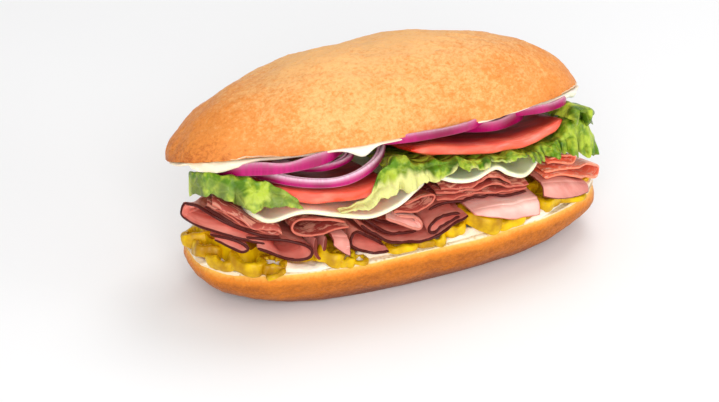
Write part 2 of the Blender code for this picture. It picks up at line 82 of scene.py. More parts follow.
def new_material(name, roughness):
    """A material and its Principled shader, whose own sockets hold what is constant."""
    made = bpy.data.materials.new(name)
    made.use_nodes = True
    shader = made.node_tree.nodes["Principled BSDF"]
    shader.inputs["Roughness"].default_value = roughness
    return made, made.node_tree, shader


floor_material, _, floor_shader = new_material("table_top", 0.6)
floor_shader.inputs["Base Color"].default_value = FLOOR_COLOUR
bpy.ops.mesh.primitive_plane_add(size=FLOOR_SIZE)
floor = bpy.context.object
floor.name = "table_top"
floor.data.materials.append(floor_material)

# Light. A white room, one big soft box high behind the right shoulder of the
# roll, and a softer one that fills the open front.
ROOM_STRENGTH = 0.60
# Each: name, place, size and watts
SOFT_BOXES = (
    ("key_light", (0.40, 0.30, 1.05), 0.55, 3.3),
    ("front_fill", (-0.45, -1.10, 0.60), 0.80, 10.5),
    ("side_fill", (0.95, -0.75, 0.35), 0.50, 3.0),
)

world = bpy.data.worlds.new("room")
world.use_nodes = True
world.node_tree.nodes["Background"].inputs["Color"].default_value = (1.0, 1.0, 1.0, 1.0)
world.node_tree.nodes["Background"].inputs["Strength"].default_value = ROOM_STRENGTH
bpy.context.scene.world = world
bpy.context.scene.view_settings.view_transform = "Standard"
for light_name, place, size, watts in SOFT_BOXES:
    lamp = bpy.data.lights.new(light_name, "AREA")
    lamp.shape = "SQUARE"
    lamp.size = size
    lamp.energy = watts
    light = bpy.data.objects.new(light_name, lamp)
    light.location = place
    light.rotation_euler = (CAMERA_AIM - light.location).to_track_quat("-Z", "Y").to_euler()
    bpy.context.scene.collection.objects.link(light)

# Lower half of the roll. Baked crust, golden with a darker foot, flat where it
# stood on the tray; the foot is partly a browner bake and partly painted shade
# below the belly. The cut face on top shows pale crumb inside the rim.
MM = 0.001
HEEL_HALF_LENGTH = 104.5
HEEL_HALF_WIDTH = 42.5
HEEL_HEIGHT = 24.0
HEEL_SQUARENESS = 2.6


def add_node(tree, kind, inputs=None, **settings):
    """Add a node, set its options, and link or set each of its inputs."""
    made = tree.nodes.new(kind)
    for key, value in settings.items():
        setattr(made, key, value)
    for key, value in (inputs or {}).items():
        if isinstance(value, bpy.types.NodeSocket):
            tree.links.new(value, made.inputs[key])
        else:
            made.inputs[key].default_value = value
    return made


def colour(red, green, blue):
    """A colour named the way a swatch is, 0 to 255, as the shader wants it."""
    linear = [((c / 255 + 0.055) / 1.055) ** 2.4 for c in (red, green, blue)]
    return (*linear, 1.0)


def blend(tree, factor, first, second):
    """The first colour where factor is 0, the second where it is 1."""
    made = add_node(tree, "ShaderNodeMix", {0: factor, 6: first, 7: second},
                    data_type="RGBA", clamp_factor=True)
    return made.outputs[2]


def remap(tree, value, low, high, to_low=0.0, to_high=1.0):
    """Ease a value from one range to another, held at both ends."""
    made = add_node(tree, "ShaderNodeMapRange", {"Value": value, "From Min": low, "From Max": high,
                                                 "To Min": to_low, "To Max": to_high},
                    interpolation_type="SMOOTHSTEP")
    return made.outputs["Result"]


def maths(tree, operation, first, second=0.0):
    return add_node(tree, "ShaderNodeMath", {0: first, 1: second}, operation=operation).outputs[0]


def grain(tree, place, size, detail=2.0, stretch=(1.0, 1.0, 1.0), roughness=0.5, offset=0.0):
    """Noise with grains of this size in mm, drawn out where stretch is below one."""
    mapped = add_node(tree, "ShaderNodeMapping", {"Vector": place, "Scale": stretch,
                                                  "Location": (offset, offset, offset)})
    made = add_node(tree, "ShaderNodeTexNoise",
                    {"Vector": mapped.outputs[0], "Scale": 1.0 / (size * MM), "Detail": detail,
                     "Roughness": roughness})
    return made.outputs["Fac"]


def object_place(tree):
    return add_node(tree, "ShaderNodeTexCoord").outputs["Object"]


def surface_place(tree):
    return add_node(tree, "ShaderNodeUVMap", uv_map="surface").outputs["UV"]


def mask_on(tree, name):
    return add_node(tree, "ShaderNodeAttribute", attribute_name=name).outputs["Fac"]


def paint(tree, shader, tint):
    """Give the surface this colour."""
    tree.links.new(tint, shader.inputs["Base Color"])


def soften(shader, weight, reach):
    """Let light into the surface: how much, and how far for red, green and blue."""
    shader.inputs["Subsurface Weight"].default_value = weight
    shader.inputs["Subsurface Radius"].default_value = reach


def glaze(shader, weight, roughness):
    """Lay a thin clear coat of wet or fat over the surface."""
    shader.inputs["Coat Weight"].default_value = weight
    shader.inputs["Coat Roughness"].default_value = roughness


def emboss(tree, shader, height, depth, strength):
    """Bump the shader's normal by height, this many mm deep."""
    bump = add_node(tree, "ShaderNodeBump", {"Height": height, "Distance": depth * MM,
                                             "Strength": strength})
    tree.links.new(bump.outputs["Normal"], shader.inputs["Normal"])


def ripple(points, size, seed, terms=8):
    """Smooth unevenness of about one at each point, in bumps of this size in mm."""
    draw = np.random.default_rng(seed)
    ways = draw.normal(size=(terms, points.shape[-1]))
    ways /= np.linalg.norm(ways, axis=1)[:, None]
    ways *= (2 * math.pi / size * draw.uniform(0.6, 1.5, terms))[:, None]
    phase = draw.uniform(0, 2 * math.pi, terms)
    return np.sin(points @ ways.T + phase).sum(-1) / math.sqrt(terms / 2)


SHARP_EDGE = math.radians(60)


def make_piece(name, points, faces, material, surface=None, masks=None):
    """A mesh object from points in mm, with an optional surface map and masks."""
    mesh = bpy.data.meshes.new(name)
    mesh.from_pydata((points * MM).tolist(), [], [tuple(f) for f in faces])
    mesh.update()
    if surface is not None:
        corner = np.empty(len(mesh.loops), dtype=np.int32)
        mesh.loops.foreach_get("vertex_index", corner)
        layer = mesh.uv_layers.new(name="surface")
        layer.data.foreach_set("uv", surface[corner].astype(np.float32).ravel())
    for mask_name, values in (masks or {}).items():
        made = mesh.attributes.new(mask_name, "FLOAT", "POINT")
        made.data.foreach_set("value", values.astype(np.float32).ravel())
    mesh.materials.append(material)
    mesh.shade_smooth()
    mesh.set_sharp_from_angle(angle=SHARP_EDGE)
    piece = bpy.data.objects.new(name, mesh)
    bpy.context.scene.collection.objects.link(piece)
    return piece


def serve(piece, slot, *nodes):
    """Put a finished piece on the sandwich in place of its plain solids."""
    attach(piece, "root")
    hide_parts(*nodes)


def superellipse(angle, half_length, half_width, squareness):
    """Outline of the roll from above: an oval squared off at its ends."""
    c, s = np.cos(angle), np.sin(angle)
    return (np.sign(c) * np.abs(c) ** (2 / squareness) * half_length,
            np.sign(s) * np.abs(s) ** (2 / squareness) * half_width)


def even_turn(count):
    """Angles round a superellipse, spread so that its corners get enough points."""
    turn = np.linspace(0, 2 * math.pi, count, endpoint=False)
    return turn - 0.10 * np.sin(4 * turn)


def loft_faces(rows, count):
    """Faces of rings joined one to the next, with a fan to a pole at both ends."""
    k = np.arange(count)
    after = (k + 1) % count
    faces = []
    for r in range(rows - 1):
        a, b = r * count, (r + 1) * count
        faces += np.stack([a + k, a + after, b + after, b + k], axis=1).tolist()
    first, last = rows * count, rows * count + 1
    top = (rows - 1) * count
    faces += [(first, after[i], i) for i in k]
    faces += [(last, top + i, top + after[i]) for i in k]
    return faces


def ring_normals(rings):
    """Outward directions of rings that climb anticlockwise."""
    around = np.roll(rings, -1, axis=1) - np.roll(rings, 1, axis=1)
    up = np.gradient(rings, axis=0)
    normal = np.cross(around, up)
    return normal / np.maximum(np.linalg.norm(normal, axis=-1, keepdims=True), 1e-9)


def close_rings(rings):
    """The points of the rings and of the two poles that close them."""
    return np.concatenate([rings.reshape(-1, 3), rings[0].mean(0)[None], rings[-1].mean(0)[None]])


def with_poles(values):
    """A value for each ring point, and for the two poles those of the end rings."""
    return np.concatenate([values.ravel(), [values[0].mean()], [values[-1].mean()]])


def lofted(name, rings, material, masks=None, lay=None):
    """A piece skinned over closed rings, laid in its place by lay where that is given."""
    points = close_rings(rings)
    if lay:
        points = lay(points)
    masks = {key: with_poles(values) for key, values in (masks or {}).items()}
    return make_piece(name, points, loft_faces(*rings.shape[:2]), material, masks=masks)


# From soft dents to fine wrinkles: depth and size in mm, seed, and number of waves
CRUST_BUMPS = ((0.55, 46.0, 3, 8), (0.22, 17.0, 4, 8), (0.10, 6.0, 5, 12), (0.045, 2.6, 6, 14))


def crust_relief(points):
    """Depth in mm of the dents and wrinkles of a baked crust."""
    return sum(deep * ripple(points, size, seed, terms)
               for deep, size, seed, terms in CRUST_BUMPS)


def crust_material(name, pale, golden, deep, mottle):
    """Baked crust, pale to deep by its mask of bake and painted light and shade, mottled, with
    crumb where it is cut.
    """
    made, tree, shader = new_material(name, 0.42)
    place = object_place(tree)
    bake_and_painted_light = mask_on(tree, "bake_and_painted_light")
    patches = grain(tree, place, 22.0, 3.0, roughness=0.6)
    blotches = grain(tree, place, 5.0, 4.0, roughness=0.65, offset=0.3)
    skin = grain(tree, place, 1.5, 4.0, stretch=(0.8, 1.0, 1.0), roughness=0.75, offset=0.7)
    # The mask carries painted light and shade as well as the bake; the mottle is added to it
    bake_light_and_mottle = bake_and_painted_light
    for pattern, share in ((patches, 0.4), (blotches, 0.5), (skin, 1.2)):
        centred = maths(tree, "SUBTRACT", pattern, 0.5)
        bake_light_and_mottle = maths(tree, "ADD", bake_light_and_mottle, maths(tree, "MULTIPLY", centred, share * mottle))
    light = blend(tree, remap(tree, bake_light_and_mottle, 0.0, 0.55), pale, golden)
    crust = blend(tree, remap(tree, bake_light_and_mottle, 0.5, 1.1), light, deep)
    pores = add_node(tree, "ShaderNodeTexVoronoi", {"Vector": place, "Scale": 1 / (2.2 * MM),
                                                    "Randomness": 1.0})
    crumb = blend(tree, remap(tree, pores.outputs["Distance"], 0.05, 0.5),
                  colour(228, 196, 140), colour(250, 236, 205))
    paint(tree, shader, blend(tree, mask_on(tree, "crumb"), crust, crumb))
    tree.links.new(remap(tree, skin, 0.3, 0.7, 0.36, 0.56), shader.inputs["Roughness"])
    soften(shader, 0.08, (0.004, 0.002, 0.001))
    glaze(shader, 0.06, 0.35)
    shader.inputs["Specular IOR Level"].default_value = 0.3
    height = maths(tree, "ADD", skin, maths(tree, "MULTIPLY", blotches, 1.2))
    emboss(tree, shader, height, 0.6, 1.0)
    return made


AROUND = 300
turn = even_turn(AROUND)


def flat_ring(half_length, half_width, squareness, level):
    """A level ring of points round the roll."""
    x, y = superellipse(turn, half_length, half_width, squareness)
    return np.stack([x, y, np.full(AROUND, level)], axis=1)


# Rings of the crust by their share of the height, and of the cut face by their
# inset in mm; how far the foot and the rim draw in from the belly
HEEL_RINGS = np.concatenate([np.linspace(0.0, 0.94, 40), [0.965, 0.985, 1.0]])
HEEL_CUT = (0.8, 1.8, 3.2, 5.0, 8.0, 12.0, 18.0, 26.0, 34.0)
BELLY = 0.75
FOOT_TUCK = 15.0
RIM_TUCK = 0.9
SMOOTH_FOOT = 5.0
heel_rings = []
for k in HEEL_RINGS:
    tuck = FOOT_TUCK * (1 - min(k / BELLY, 1.0)) ** 2
    tuck += RIM_TUCK * max(0.0, (k - BELLY) / (1 - BELLY)) ** 2
    heel_rings.append(flat_ring(HEEL_HALF_LENGTH - 1.8 * tuck, HEEL_HALF_WIDTH - 0.8 * tuck,
                                HEEL_SQUARENESS, HEEL_HEIGHT * k))
for inset in HEEL_CUT:
    heel_rings.append(flat_ring(HEEL_HALF_LENGTH - inset, HEEL_HALF_WIDTH - inset,
                                HEEL_SQUARENESS, HEEL_HEIGHT))
heel_rings = np.array(heel_rings)
heel_rise = np.clip(heel_rings[..., 2] / SMOOTH_FOOT, 0, 1)[..., None]
cut_row = len(HEEL_RINGS)
heel_bumps = crust_relief(heel_rings)[..., None] * ring_normals(heel_rings) * heel_rise
heel_bumps[cut_row:, :, :2] = 0.0
heel_rings += 0.8 * heel_bumps
heel_rings[..., 2] = np.maximum(heel_rings[..., 2], 0.0)
heel_crumb = np.zeros(heel_rings.shape[:2])
heel_crumb[cut_row - 1:] = 1.0
heel_crumb[cut_row - 2] = 0.6
# Paler towards the rim; browner towards the foot, partly the bake and partly painted shade there
heel_height = heel_rings[..., 2] / HEEL_HEIGHT
heel_bake_and_shade = 0.80 - 0.85 * np.clip((heel_height - 0.72) / 0.28, 0, 1) ** 1.2
# Painted shade: darker low down below the belly, on top of a browner bake
heel_bake_and_shade += 0.42 * np.clip((0.45 - heel_height) / 0.45, 0, 1)
heel_crust = crust_material("heel_crust", colour(250, 190, 84), colour(224, 128, 18),
                            colour(128, 58, 4), 0.4)
heel = lofted("roll_heel", heel_rings, heel_crust, {"crumb": heel_crumb, "bake_and_painted_light": heel_bake_and_shade})
serve(heel, "bun_crust", "bun_heel")

# Upper half of the roll. The same crust, painted paler on top where the light
# falls; it leans back on the fillings, browner at its left end and along the low
# front edge, partly from the bake and partly painted shade.
CROWN_HALF_LENGTH = 104.0
CROWN_HALF_WIDTH = 42.0
CROWN_HEIGHT = 39.5
CROWN_SQUARENESS = 2.3
CROWN_LEAN = math.radians(21.0)
CROWN_ROLL = math.radians(-0.6)
CROWN_SHIFT = np.array((-6.0, 6.0, HEEL_HEIGHT + 46.0))
CROWN_SAG = 3.4


def turned(angle, axis):
    """Rotation matrix about the X or Y axis."""
    c, s = math.cos(angle), math.sin(angle)
    if axis == "X":
        return np.array(((1, 0, 0), (0, c, -s), (0, s, c)))
    return np.array(((c, 0, s), (0, 1, 0), (-s, 0, c)))


def lay_crown(points):
    """Take points of the upper half from flat on the board to its place."""
    return points @ (turned(-CROWN_ROLL, "Y") @ turned(-CROWN_LEAN, "X")).T + CROWN_SHIFT


def edge_sag(points):
    """How far the soft front edge of the upper half curls down over the fillings."""
    front = np.clip(-points[..., 1] / CROWN_HALF_WIDTH, 0, 1) ** 2
    along = np.clip(1 - (points[..., 0] / CROWN_HALF_LENGTH) ** 6, 0, 1)
    return CROWN_SAG * front * along * np.exp(-np.maximum(points[..., 2], 0.0) / 9.0)


CROWN_CUT = (38.0, 30.0, 22.0, 14.0, 8.0, 4.0, 1.6, 0.5)
CROWN_RINGS = np.sin(np.linspace(0.0, 0.965, 54) * math.pi / 2)
crown_rings = []
for inset in CROWN_CUT:
    crown_rings.append(flat_ring(CROWN_HALF_LENGTH - inset, CROWN_HALF_WIDTH - inset,
                                 CROWN_SQUARENESS, 0.0))
for k in CROWN_RINGS:
    along = (1 - k ** 1.65) ** (1 / 2.2)
    across = (1 - k ** 2.1) ** (1 / 2.1)
    crown_rings.append(flat_ring(CROWN_HALF_LENGTH * along, CROWN_HALF_WIDTH * across,
                                 CROWN_SQUARENESS, CROWN_HEIGHT * k))
crown_rings = np.array(crown_rings)
cut_rows = len(CROWN_CUT)
crown_bumps = crust_relief(crown_rings + 200.0)[..., None] * ring_normals(crown_rings)
crown_bumps[:cut_rows, :, :2] = 0.0
crown_rings += crown_bumps
crown_rings[..., 2] -= edge_sag(crown_rings)
crown_crumb = np.zeros(crown_rings.shape[:2])
crown_crumb[:cut_rows] = 1.0
# Browner at both ends and along the low edge, partly the bake and partly painted shade at the left
# end and the low edge; paler on top, which is painted light
from_left = np.clip((-40.0 - crown_rings[..., 0]) / 64.0, 0, 1)
from_right = np.clip((crown_rings[..., 0] - 10.0) / 94.0, 0, 1)
low = np.clip(1 - crown_rings[..., 2] / 12.0, 0, 1)
# Partly bake and partly painted shade: browner at the left end and along the low edge
crown_bake_and_light = 0.24 + 0.36 * from_left ** 1.3 + 0.22 * from_right + 0.10 * low ** 2
crown_bake_and_light += 0.18 * from_left * low
# Painted light: the top of the crust is lightened where the light from above falls
crown_bake_and_light -= 0.22 * np.clip((crown_rings[..., 2] / CROWN_HEIGHT - 0.55) / 0.45, 0, 1)
crown_crust = crust_material("crown_crust", colour(252, 190, 118), colour(234, 142, 58),
                             colour(180, 88, 18), 1.0)
crown = lofted("roll_crown", crown_rings, crown_crust,
               {"crumb": crown_crumb, "bake_and_painted_light": crown_bake_and_light}, lay=lay_crown)
serve(crown, "bun_crust", "bun_crown")

# Mayonnaise. Spread thickly on both cut faces: off-white, soft and glossy, in
# swipes and small lumps, hanging over the upper edge in a few drips.
UPPER_SPREAD = 1.8
LOWER_SPREAD = 1.9
# Lumps along the front of the lower half: where along the roll and how wide;
# drips over the front edge of the upper half: where, how wide and how long
MAYO_LUMPS = ((-101.0, 6.0), (-72.0, 10.0), (-33.0, 10.0), (17.0, 11.0), (62.0, 6.0))
DRIPS = ((-32.0, 5.6, 3.6), (-97.0, 12.0, 3.5), (87.0, 6.0, 2.2), (8.0, 9.0, 0.8))

mayo_material, mayo_tree, mayo_shader = new_material("mayonnaise", 0.34)
mayo_place = object_place(mayo_tree)
mayo_swipes = grain(mayo_tree, mayo_place, 9.0, 3.0, stretch=(0.45, 1.0, 1.0))
mayo_lumps = grain(mayo_tree, mayo_place, 2.2, 3.0, offset=0.4)
mayo_tint = blend(mayo_tree, remap(mayo_tree, mayo_swipes, 0.35, 0.65), colour(246, 228, 200),
                  colour(251, 243, 228))
paint(mayo_tree, mayo_shader, mayo_tint)
soften(mayo_shader, 0.35, (0.004, 0.003, 0.002))
mayo_height = maths(mayo_tree, "ADD", mayo_swipes, maths(mayo_tree, "MULTIPLY", mayo_lumps, 0.5))
emboss(mayo_tree, mayo_shader, mayo_height, 0.6, 0.7)

mayo_rings = []
mayo_edge = ((2.9, 0.15), (2.0, 0.35), (1.7, 0.8), (2.0, 1.3), (2.9, 1.7))
mayo_face = [(inset, LOWER_SPREAD) for inset in np.linspace(3.6, 36.0, 34)]
wander = 1.1 * np.sin(7 * turn + 0.6) + 0.8 * np.sin(13 * turn)
for inset, level in (*mayo_edge, *mayo_face):
    mayo_rings.append(flat_ring(HEEL_HALF_LENGTH - inset - wander,
                                HEEL_HALF_WIDTH - inset - wander, HEEL_SQUARENESS,
                                HEEL_HEIGHT + level))
mayo_rings = np.array(mayo_rings)
spread_relief = 0.5 * ripple(mayo_rings * (0.6, 1, 1), 12.0, 21) + 0.3 * ripple(mayo_rings, 5.0, 22)
mayo_rings[3:, :, 2] += np.clip(spread_relief[3:], -0.5, 1.6)
bank = np.exp(-((np.arange(len(mayo_rings)) - 6.0) / 3.2) ** 2)[:, None]
lumps = sum(np.exp(-((mayo_rings[..., 0] - at) / half) ** 2) for at, half in MAYO_LUMPS)
lumps = (0.2 + 2.0 * lumps) * np.clip(-mayo_rings[..., 1] / 20.0 - 0.5, 0, 1)
mayo_rings[3:, :, 2] += (bank * lumps * (1 + 0.35 * ripple(mayo_rings, 8.0, 23)))[3:]
lower_mayo = lofted("mayonnaise_below", mayo_rings, mayo_material)
serve(lower_mayo, "mayonnaise", "mayo_heel")


def drip_at(x, y):
    """How far the upper mayonnaise hangs at x, along the front edge only."""
    hang = sum(drop * np.exp(-((x - at) / half) ** 2) for at, half, drop in DRIPS)
    return np.where(y > -15.0, 0.0, hang)


# Rings of the upper spread: inset, share of the drips, and thickness there
UPPER_RINGS = (
    (14.0, 0.0, 0.2), (3.0, 0.0, 0.25), (1.2, 0.1, 0.4), (0.7, 0.35, 0.8), (0.9, 0.75, 1.25),
    (1.7, 1.0, 1.6), (2.8, 0.95, UPPER_SPREAD), (4.4, 0.7, UPPER_SPREAD),
    (6.4, 0.3, UPPER_SPREAD), (9.0, 0.0, UPPER_SPREAD), (14.0, 0.0, 1.7), (24.0, 0.0, 1.7),
    (34.0, 0.0, 1.7),
)
mayo_rings = []
wander = 0.9 * np.sin(5 * turn + 1.0) + 0.6 * np.sin(11 * turn) + 0.25 * np.sin(31 * turn)
for inset, share, fixed in UPPER_RINGS:
    x, y = superellipse(turn, CROWN_HALF_LENGTH - inset - wander,
                        CROWN_HALF_WIDTH - inset - wander, CROWN_SQUARENESS)
    drop = drip_at(x + CROWN_SHIFT[0], y)
    sag = 0.35 * np.sin(23 * turn + 1.3) * np.sin(9 * turn) * (share > 0)
    mayo_rings.append(np.stack([x, y - 0.35 * drop * (share > 0),
                                -fixed - share * drop + sag], axis=1))
mayo_rings = np.array(mayo_rings)[::-1]
mayo_rings[..., 2] -= edge_sag(mayo_rings)
upper_mayo = lofted("mayonnaise_above", mayo_rings, mayo_material, lay=lay_crown)
serve(upper_mayo, "mayonnaise", "mayo_crown")

# Folded meats. Thin slices folded over themselves and stood on edge, cut edges
# to the front. All fillings share one wedge, tall in front and thin behind.
BED = 4.0
MEAT_TOP = 36.0
MEAT_PRESS = 0.63
SALAD_PRESS = 0.47
FRONT_LEAN = 0.13
END_TUCK = 24.0
TUCK_START = 66.0
FILLING_HALF_LENGTH = 106.5
FILLING_HALF_WIDTH = 42.0
HAM_THICK = 1.6
CAPICOLA_THICK = 1.6
SALAMI_THICK = 1.3


def half_width(x):
    """Half the depth of the fillings at x, which follow the outline of the roll."""
    k = np.minimum(np.abs(x) / FILLING_HALF_LENGTH, 0.9999)
    curve = (1 - k ** HEEL_SQUARENESS) ** (1 / HEEL_SQUARENESS)
    return np.maximum(5.0, FILLING_HALF_WIDTH * curve) + 1.0


def wedge_height(y, level):
    """World height of a filling's level, pressed down towards the back."""
    back = (y + FILLING_HALF_WIDTH) / (2 * FILLING_HALF_WIDTH)
    meat = np.clip(level - BED, 0.0, MEAT_TOP - BED)
    salad = np.maximum(level - MEAT_TOP, 0.0)
    rise = meat * (1 - MEAT_PRESS * back) + salad * (1 - SALAD_PRESS * back)
    return HEEL_HEIGHT + np.minimum(level, BED) + rise


def in_wedge(x, across, level):
    """Points of a filling: across runs from -1 at the front to 1 at the back."""
    x, across, level = np.broadcast_arrays(x, across, level)
    y = across * half_width(x) + FRONT_LEAN * level
    share = np.maximum(0.0, np.abs(x) - TUCK_START) / (FILLING_HALF_LENGTH - TUCK_START)
    turned_in = x - np.sign(x) * END_TUCK * share * (1 + across) / 2
    return np.stack([turned_in, y, wedge_height(y, level)], axis=-1)


def smooth_line(points, steps):
    """A smooth curve through the points, with this many steps between each two."""
    run = np.array(points, dtype=float)
    run = np.concatenate([[2 * run[0] - run[1]], run, [2 * run[-1] - run[-2]]])
    t = (np.arange(steps) / steps)[:, None]
    out = [0.5 * (2 * p1 + (p2 - p0) * t + (2 * p0 - 5 * p1 + 4 * p2 - p3) * t ** 2
                  + (3 * p1 - p0 - 3 * p2 + p3) * t ** 3)
           for p0, p1, p2, p3 in zip(run, run[1:], run[2:], run[3:])]
    return np.concatenate([*out, run[-2:-1]])


def level_at(points, x):
    """Height at x of the smooth curve through the points."""
    run = smooth_line(points, 16)
    return np.interp(x, run[:, 0], run[:, 1])


def on_line(places):
    """Points on a line, for a ripple that runs along a piece."""
    return np.stack([places, np.zeros(len(places))], axis=1)


# Share of the thickness that is left at the rim of a sheet and next to it
ROUNDED_RIM = ((0, 0.35), (1, 0.85))


def sheet_solid(name, middle, thick, material, surface, masks=None):
    """A thin sheet with rounded rims from a grid of points on its middle surface."""
    rows, cols = middle.shape[:2]
    along = np.gradient(middle, axis=0)
    normal = np.cross(along, np.gradient(middle, axis=1))
    normal /= np.maximum(np.linalg.norm(normal, axis=-1, keepdims=True), 1e-9)
    half = np.full((rows, cols), thick / 2.0)
    for line, share in ROUNDED_RIM:
        half[:, line] *= share
        half[:, -1 - line] *= share
        half[line] *= share
        half[-1 - line] *= share
    upper = middle + normal * half[..., None]
    lower = middle - normal * half[..., None]
    points = np.concatenate([upper.reshape(-1, 3), lower.reshape(-1, 3)])
    index = np.arange(rows * cols).reshape(rows, cols)
    under = index + rows * cols
    faces = [np.stack([index[:-1, :-1], index[1:, :-1], index[1:, 1:], index[:-1, 1:]], -1),
             np.stack([under[:-1, :-1], under[:-1, 1:], under[1:, 1:], under[1:, :-1]], -1),
             np.stack([under[:-1, 0], under[1:, 0], index[1:, 0], index[:-1, 0]], -1),
             np.stack([index[:-1, -1], index[1:, -1], under[1:, -1], under[:-1, -1]], -1),
             np.stack([index[0, :-1], index[0, 1:], under[0, 1:], under[0, :-1]], -1),
             np.stack([under[-1, :-1], under[-1, 1:], index[-1, 1:], index[-1, :-1]], -1)]
    faces = np.concatenate([f.reshape(-1, 4) for f in faces]).tolist()
    both = {key: np.concatenate([value.ravel()] * 2) for key, value in (masks or {}).items()}
    flat = surface.reshape(-1, 2)
    return make_piece(name, points, faces, material, np.concatenate([flat, flat]), both)


def arc_length(path):
    """Distance run along a path at each of its points, in mm."""
    steps = np.linalg.norm(np.diff(path, axis=0), axis=1)
    return np.concatenate([[0.0], np.cumsum(steps)])


# Depths in mm behind the cut edge at which a slice is drawn, fine near the edge
EDGE_DEPTHS = np.array((0.0, 0.45, 1.0, 1.8, 2.8, 4.2, 6.0, 8.5, 12.0, 16.0, 21.0, 28.0))
SLICE_DEPTHS = np.concatenate([EDGE_DEPTHS, EDGE_DEPTHS[::-1]])
# The same places from -1 at the front to 1 at the back
SLICE_ACROSS = np.concatenate([-1 + EDGE_DEPTHS / FILLING_HALF_WIDTH,
                               1 - EDGE_DEPTHS[::-1] / FILLING_HALF_WIDTH])
# A fold closes where its two arms, at least this far apart along the path, come
# within its mouth of each other; further from the edge it is shut this far
LOOP_REACH = 7.0
LOOP_MOUTH = 13.0
LOOP_SHUT = 0.9


def fold_closing(run, step, rise):
    """The way each point of a folded path moves where the fold closes behind its edge."""
    apart = np.linalg.norm(run[:, None] - run[None], axis=-1)
    order = np.arange(len(run)) * step
    apart[np.abs(order[:, None] - order[None]) < LOOP_REACH] = np.inf
    facing = apart.argmin(1)
    other = run[facing]
    higher = np.where((other[:, 1] > run[:, 1])[:, None], other, run)
    goal = rise * higher + (1 - rise) * (run + other) / 2
    near = np.clip((LOOP_MOUTH - apart.min(1)) / 4.0, 0, 1)[:, None]
    move = (goal - run) * near
    window = np.ones(7) / 7
    padded = np.pad(move, ((3, 3), (0, 0)), mode="edge")
    return np.stack([np.convolve(padded[:, k], window, mode="valid") for k in (0, 1)], axis=1)


def fold_grid(path, seed, rise, behind, droop):
    """A folded slice: its path along the front carried back through the wedge."""
    run = smooth_line(path, 9)
    distance = arc_length(run)
    count = max(24, int(distance[-1] / 0.9))
    even = np.linspace(0.0, distance[-1], count)
    run = np.stack([np.interp(even, distance, run[:, k]) for k in (0, 1)], axis=1)
    depth, across = SLICE_DEPTHS, SLICE_ACROSS
    x, level = run[:, :1], run[:, 1:]
    if rise is not None:
        move = fold_closing(run, even[1], rise)
        shut = LOOP_SHUT * (1 - np.exp(-(depth / 6.5) ** 1.5))
        x = x + move[:, :1] * shut
        level = level + move[:, 1:] * shut
    steer = on_line(even)
    near = np.exp(-depth / 6.0) * (across < 0)
    pull = 0.9 * ripple(steer, 19.0, seed) + 0.15 * ripple(steer, 5.5, seed + 1)
    across = across + near * pull[:, None] / FILLING_HALF_WIDTH
    across = across + behind / FILLING_HALF_WIDTH * (1 - across) / 2
    lift = 0.18 * ripple(steer, 13.0, seed + 2)[:, None] * np.exp(-depth / 4.0)
    hang = droop * (1 + 0.2 * ripple(steer, 8.0, seed + 3))[:, None] * np.exp(-depth / 2.4)
    middle = in_wedge(x, across, level + lift - hang * (across < 0))
    surface = np.stack(np.broadcast_arrays(even[:, None] * MM, depth * MM + seed), axis=-1)
    rim = np.broadcast_to(depth, middle.shape[:2])
    return middle, surface, rim


def fat_marbling():
    """A shared pattern of cured meat: streaks and specks of fat on a lean ground."""
    tree = bpy.data.node_groups.new("fat_marbling", "ShaderNodeTree")
    for label, kind, value in (("Place", "NodeSocketVector", None),
                               ("Speck Scale", "NodeSocketFloat", 400.0),
                               ("Share", "NodeSocketFloat", 0.5)):
        socket = tree.interface.new_socket(label, in_out="INPUT", socket_type=kind)
        if value is not None:
            socket.default_value = value
    tree.interface.new_socket("Fat", in_out="OUTPUT", socket_type="NodeSocketFloat")
    tree.interface.new_socket("Height", in_out="OUTPUT", socket_type="NodeSocketFloat")
    given = add_node(tree, "NodeGroupInput")
    drawn_out = add_node(tree, "ShaderNodeMapping", {"Vector": given.outputs["Place"],
                                                     "Scale": (0.4, 1.0, 1.0),
                                                     "Rotation": (0.0, 0.0, 0.25)})
    streaks = add_node(tree, "ShaderNodeTexNoise",
                       {"Vector": drawn_out.outputs[0], "Scale": given.outputs["Speck Scale"],
                        "Detail": 4.0, "Roughness": 0.62, "Distortion": 1.1})
    clumps = add_node(tree, "ShaderNodeTexNoise",
                      {"Vector": given.outputs["Place"],
                       "Scale": maths(tree, "MULTIPLY", given.outputs["Speck Scale"], 0.22),
                       "Detail": 2.0})
    uneven = maths(tree, "MULTIPLY", maths(tree, "SUBTRACT", clumps.outputs["Fac"], 0.5), 0.45)
    level = maths(tree, "ADD", streaks.outputs["Fac"], uneven)
    start = maths(tree, "SUBTRACT", 0.70, maths(tree, "MULTIPLY", given.outputs["Share"], 0.3))
    fat = remap(tree, level, start, maths(tree, "ADD", start, 0.10))
    out = add_node(tree, "NodeGroupOutput")
    tree.links.new(fat, out.inputs["Fat"])
    tree.links.new(streaks.outputs["Fac"], out.inputs["Height"])
    return tree


MARBLING = fat_marbling()


